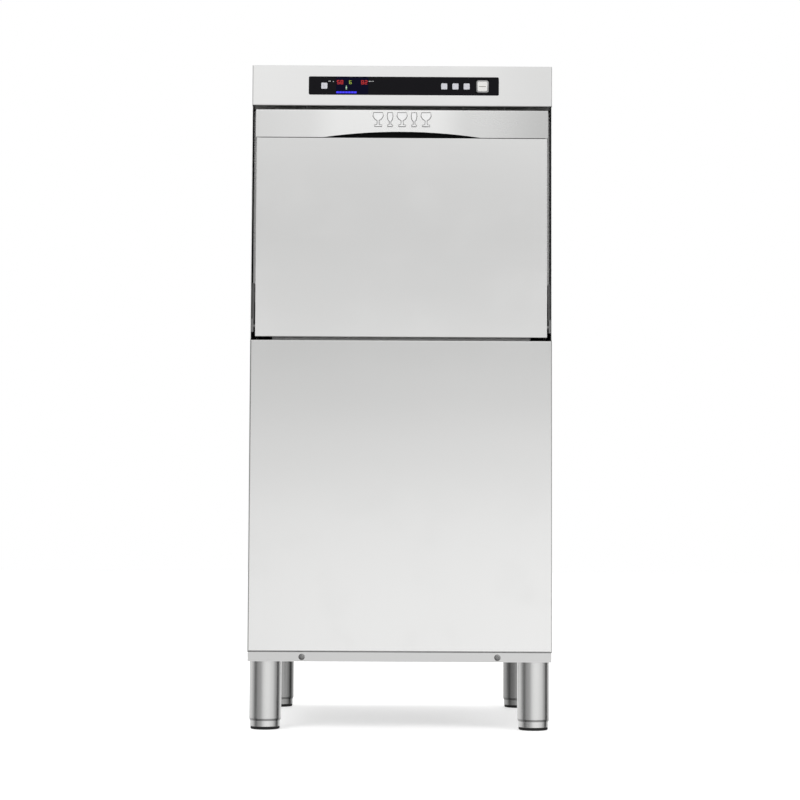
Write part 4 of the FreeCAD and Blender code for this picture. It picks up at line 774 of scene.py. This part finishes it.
emblem, emblem_shadow = bmesh.new(), bmesh.new()
for i, kind in enumerate(("goblet", "flute", "goblet", "flute", "goblet")):
    outline = stemware(24 * (i - 2), BADGE_LOW - 2.5, kind)
    slab(emblem, outline, back=FRONT + 0.4, front=FRONT - 0.9, edge=0.35)
    # painted shadow: a dark outline 1.4 mm wide round each glass
    slab(emblem_shadow, grown(outline, 1.4), back=FRONT + 0.9, front=FRONT - 0.25)
# painted highlight: the emblem is drawn in diffuse white for the shine of its polished glasses
badge = new_piece("door_emblem", emblem, "emblem_highlight", "door")
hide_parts("door_badge")
new_piece("door_emblem_painted_shadow", emblem_shadow, "emblem_shadow", "door", smooth=False)

# ---------------------------------------------------------------- finger recess, feet, springs

# painted shade: a black piece in the finger recess stands in for the deep shade inside it
RECESS_SHADE_HALF = 284
back = BOX["door_outer_skin"][1][1] - 1.65
roof_z = BOX["door_outer_skin"][1][2] - 0.5
floor_z = BOX["door_handle"][0][2] - 0.55
profile = [
    (FRONT + 1.1, floor_z), (back - 3, floor_z), (back, floor_z + 3), (back, roof_z),
    (back - 0.9, roof_z), (back - 0.9, floor_z + 3.4), (back - 3.4, floor_z + 0.6),
    (FRONT + 1.1, floor_z + 0.4),
]
recess_shade = bmesh.new()
loft(recess_shade, [[(x, y, z) for y, z in profile] for x in (-RECESS_SHADE_HALF, RECESS_SHADE_HALF)])
new_piece("grip_recess_shade", recess_shade, "recess_shade", "door")

PAD = [(20, 0), (27.2, 0), (28.6, 0.6), (29.0, 1.8), (29.0, 4.3), (28.7, 4.95), (20, 4.95)]
for corner in ("front_left", "front_right", "rear_left", "rear_right"):
    x, y, _ = middle("foot_" + corner)
    pad = bmesh.new()
    loft(pad, [[(x + a, y + b, z) for a, b, z in circle(radius, h)] for radius, h in PAD])
    new_piece("foot_pad_" + corner, pad, "pad", "foot_" + corner)


def helix(mesh, x, y, low, high, coil, wire, turns):
    """A compression spring of round wire with a closed coil at each end."""
    steps, sides = 36, 8
    rings = []
    for i in range(turns * steps + 1):
        done = i / steps
        closed = min(done, 1) + max(done - turns + 1, 0)
        opened = min(max((done - 1) / (turns - 2), 0), 1)
        z = low + wire + 2 * wire * closed + opened * (high - low - 6 * wire)
        out = Vector((math.cos(2 * math.pi * done), math.sin(2 * math.pi * done), 0))
        centre = Vector((x, y, z)) + out * coil
        ring = []
        for k in range(sides):
            turn = 2 * math.pi * k / sides
            ring.append(centre + wire * (out * math.cos(turn) + Vector((0, 0, math.sin(turn)))))
        rings.append(ring)
    loft(mesh, rings)


# the CAD springs' outer radius is 10.5
spring_x = BOX["balance_springs"][1][0] - 10.5
spring_y = middle("balance_springs")[1]
spring_low, spring_high = (corner[2] for corner in BOX["balance_springs"])
springs = bmesh.new()
for side in (-1, 1):
    helix(springs, side * spring_x, spring_y, spring_low, spring_high, coil=8.9, wire=1.5, turns=17)
coils = new_piece("balance_spring_coils", springs, "spring", "cabinet")
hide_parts("balance_springs")
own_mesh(coils)

# ---------------------------------------------------------------- floor


def stage_floor():
    """A pale floor that glows a little, so that it fades into the white background."""
    m = Material(
        "floor_paint", (0.86, 0.86, 0.86), 0.6, Emission_Color=(1, 1, 1, 1), Emission_Strength=0.515
    )
    m.tint(m.span(m.noise(3, 3), 0.99, 1.01))
    m.rough(m.span(m.noise(40, 4), 0.55, 0.65))
    mesh = bmesh.new()
    bmesh.ops.create_grid(mesh, x_segments=8, y_segments=8, size=14)
    data = bpy.data.meshes.new("floor")
    mesh.to_mesh(data)
    mesh.free()
    floor = bpy.data.objects.new("floor", data)
    bpy.context.scene.collection.objects.link(floor)
    floor.location.z = -0.5 * MM
    floor.data.materials.append(m.material)
    floor.visible_glossy = False


stage_floor()
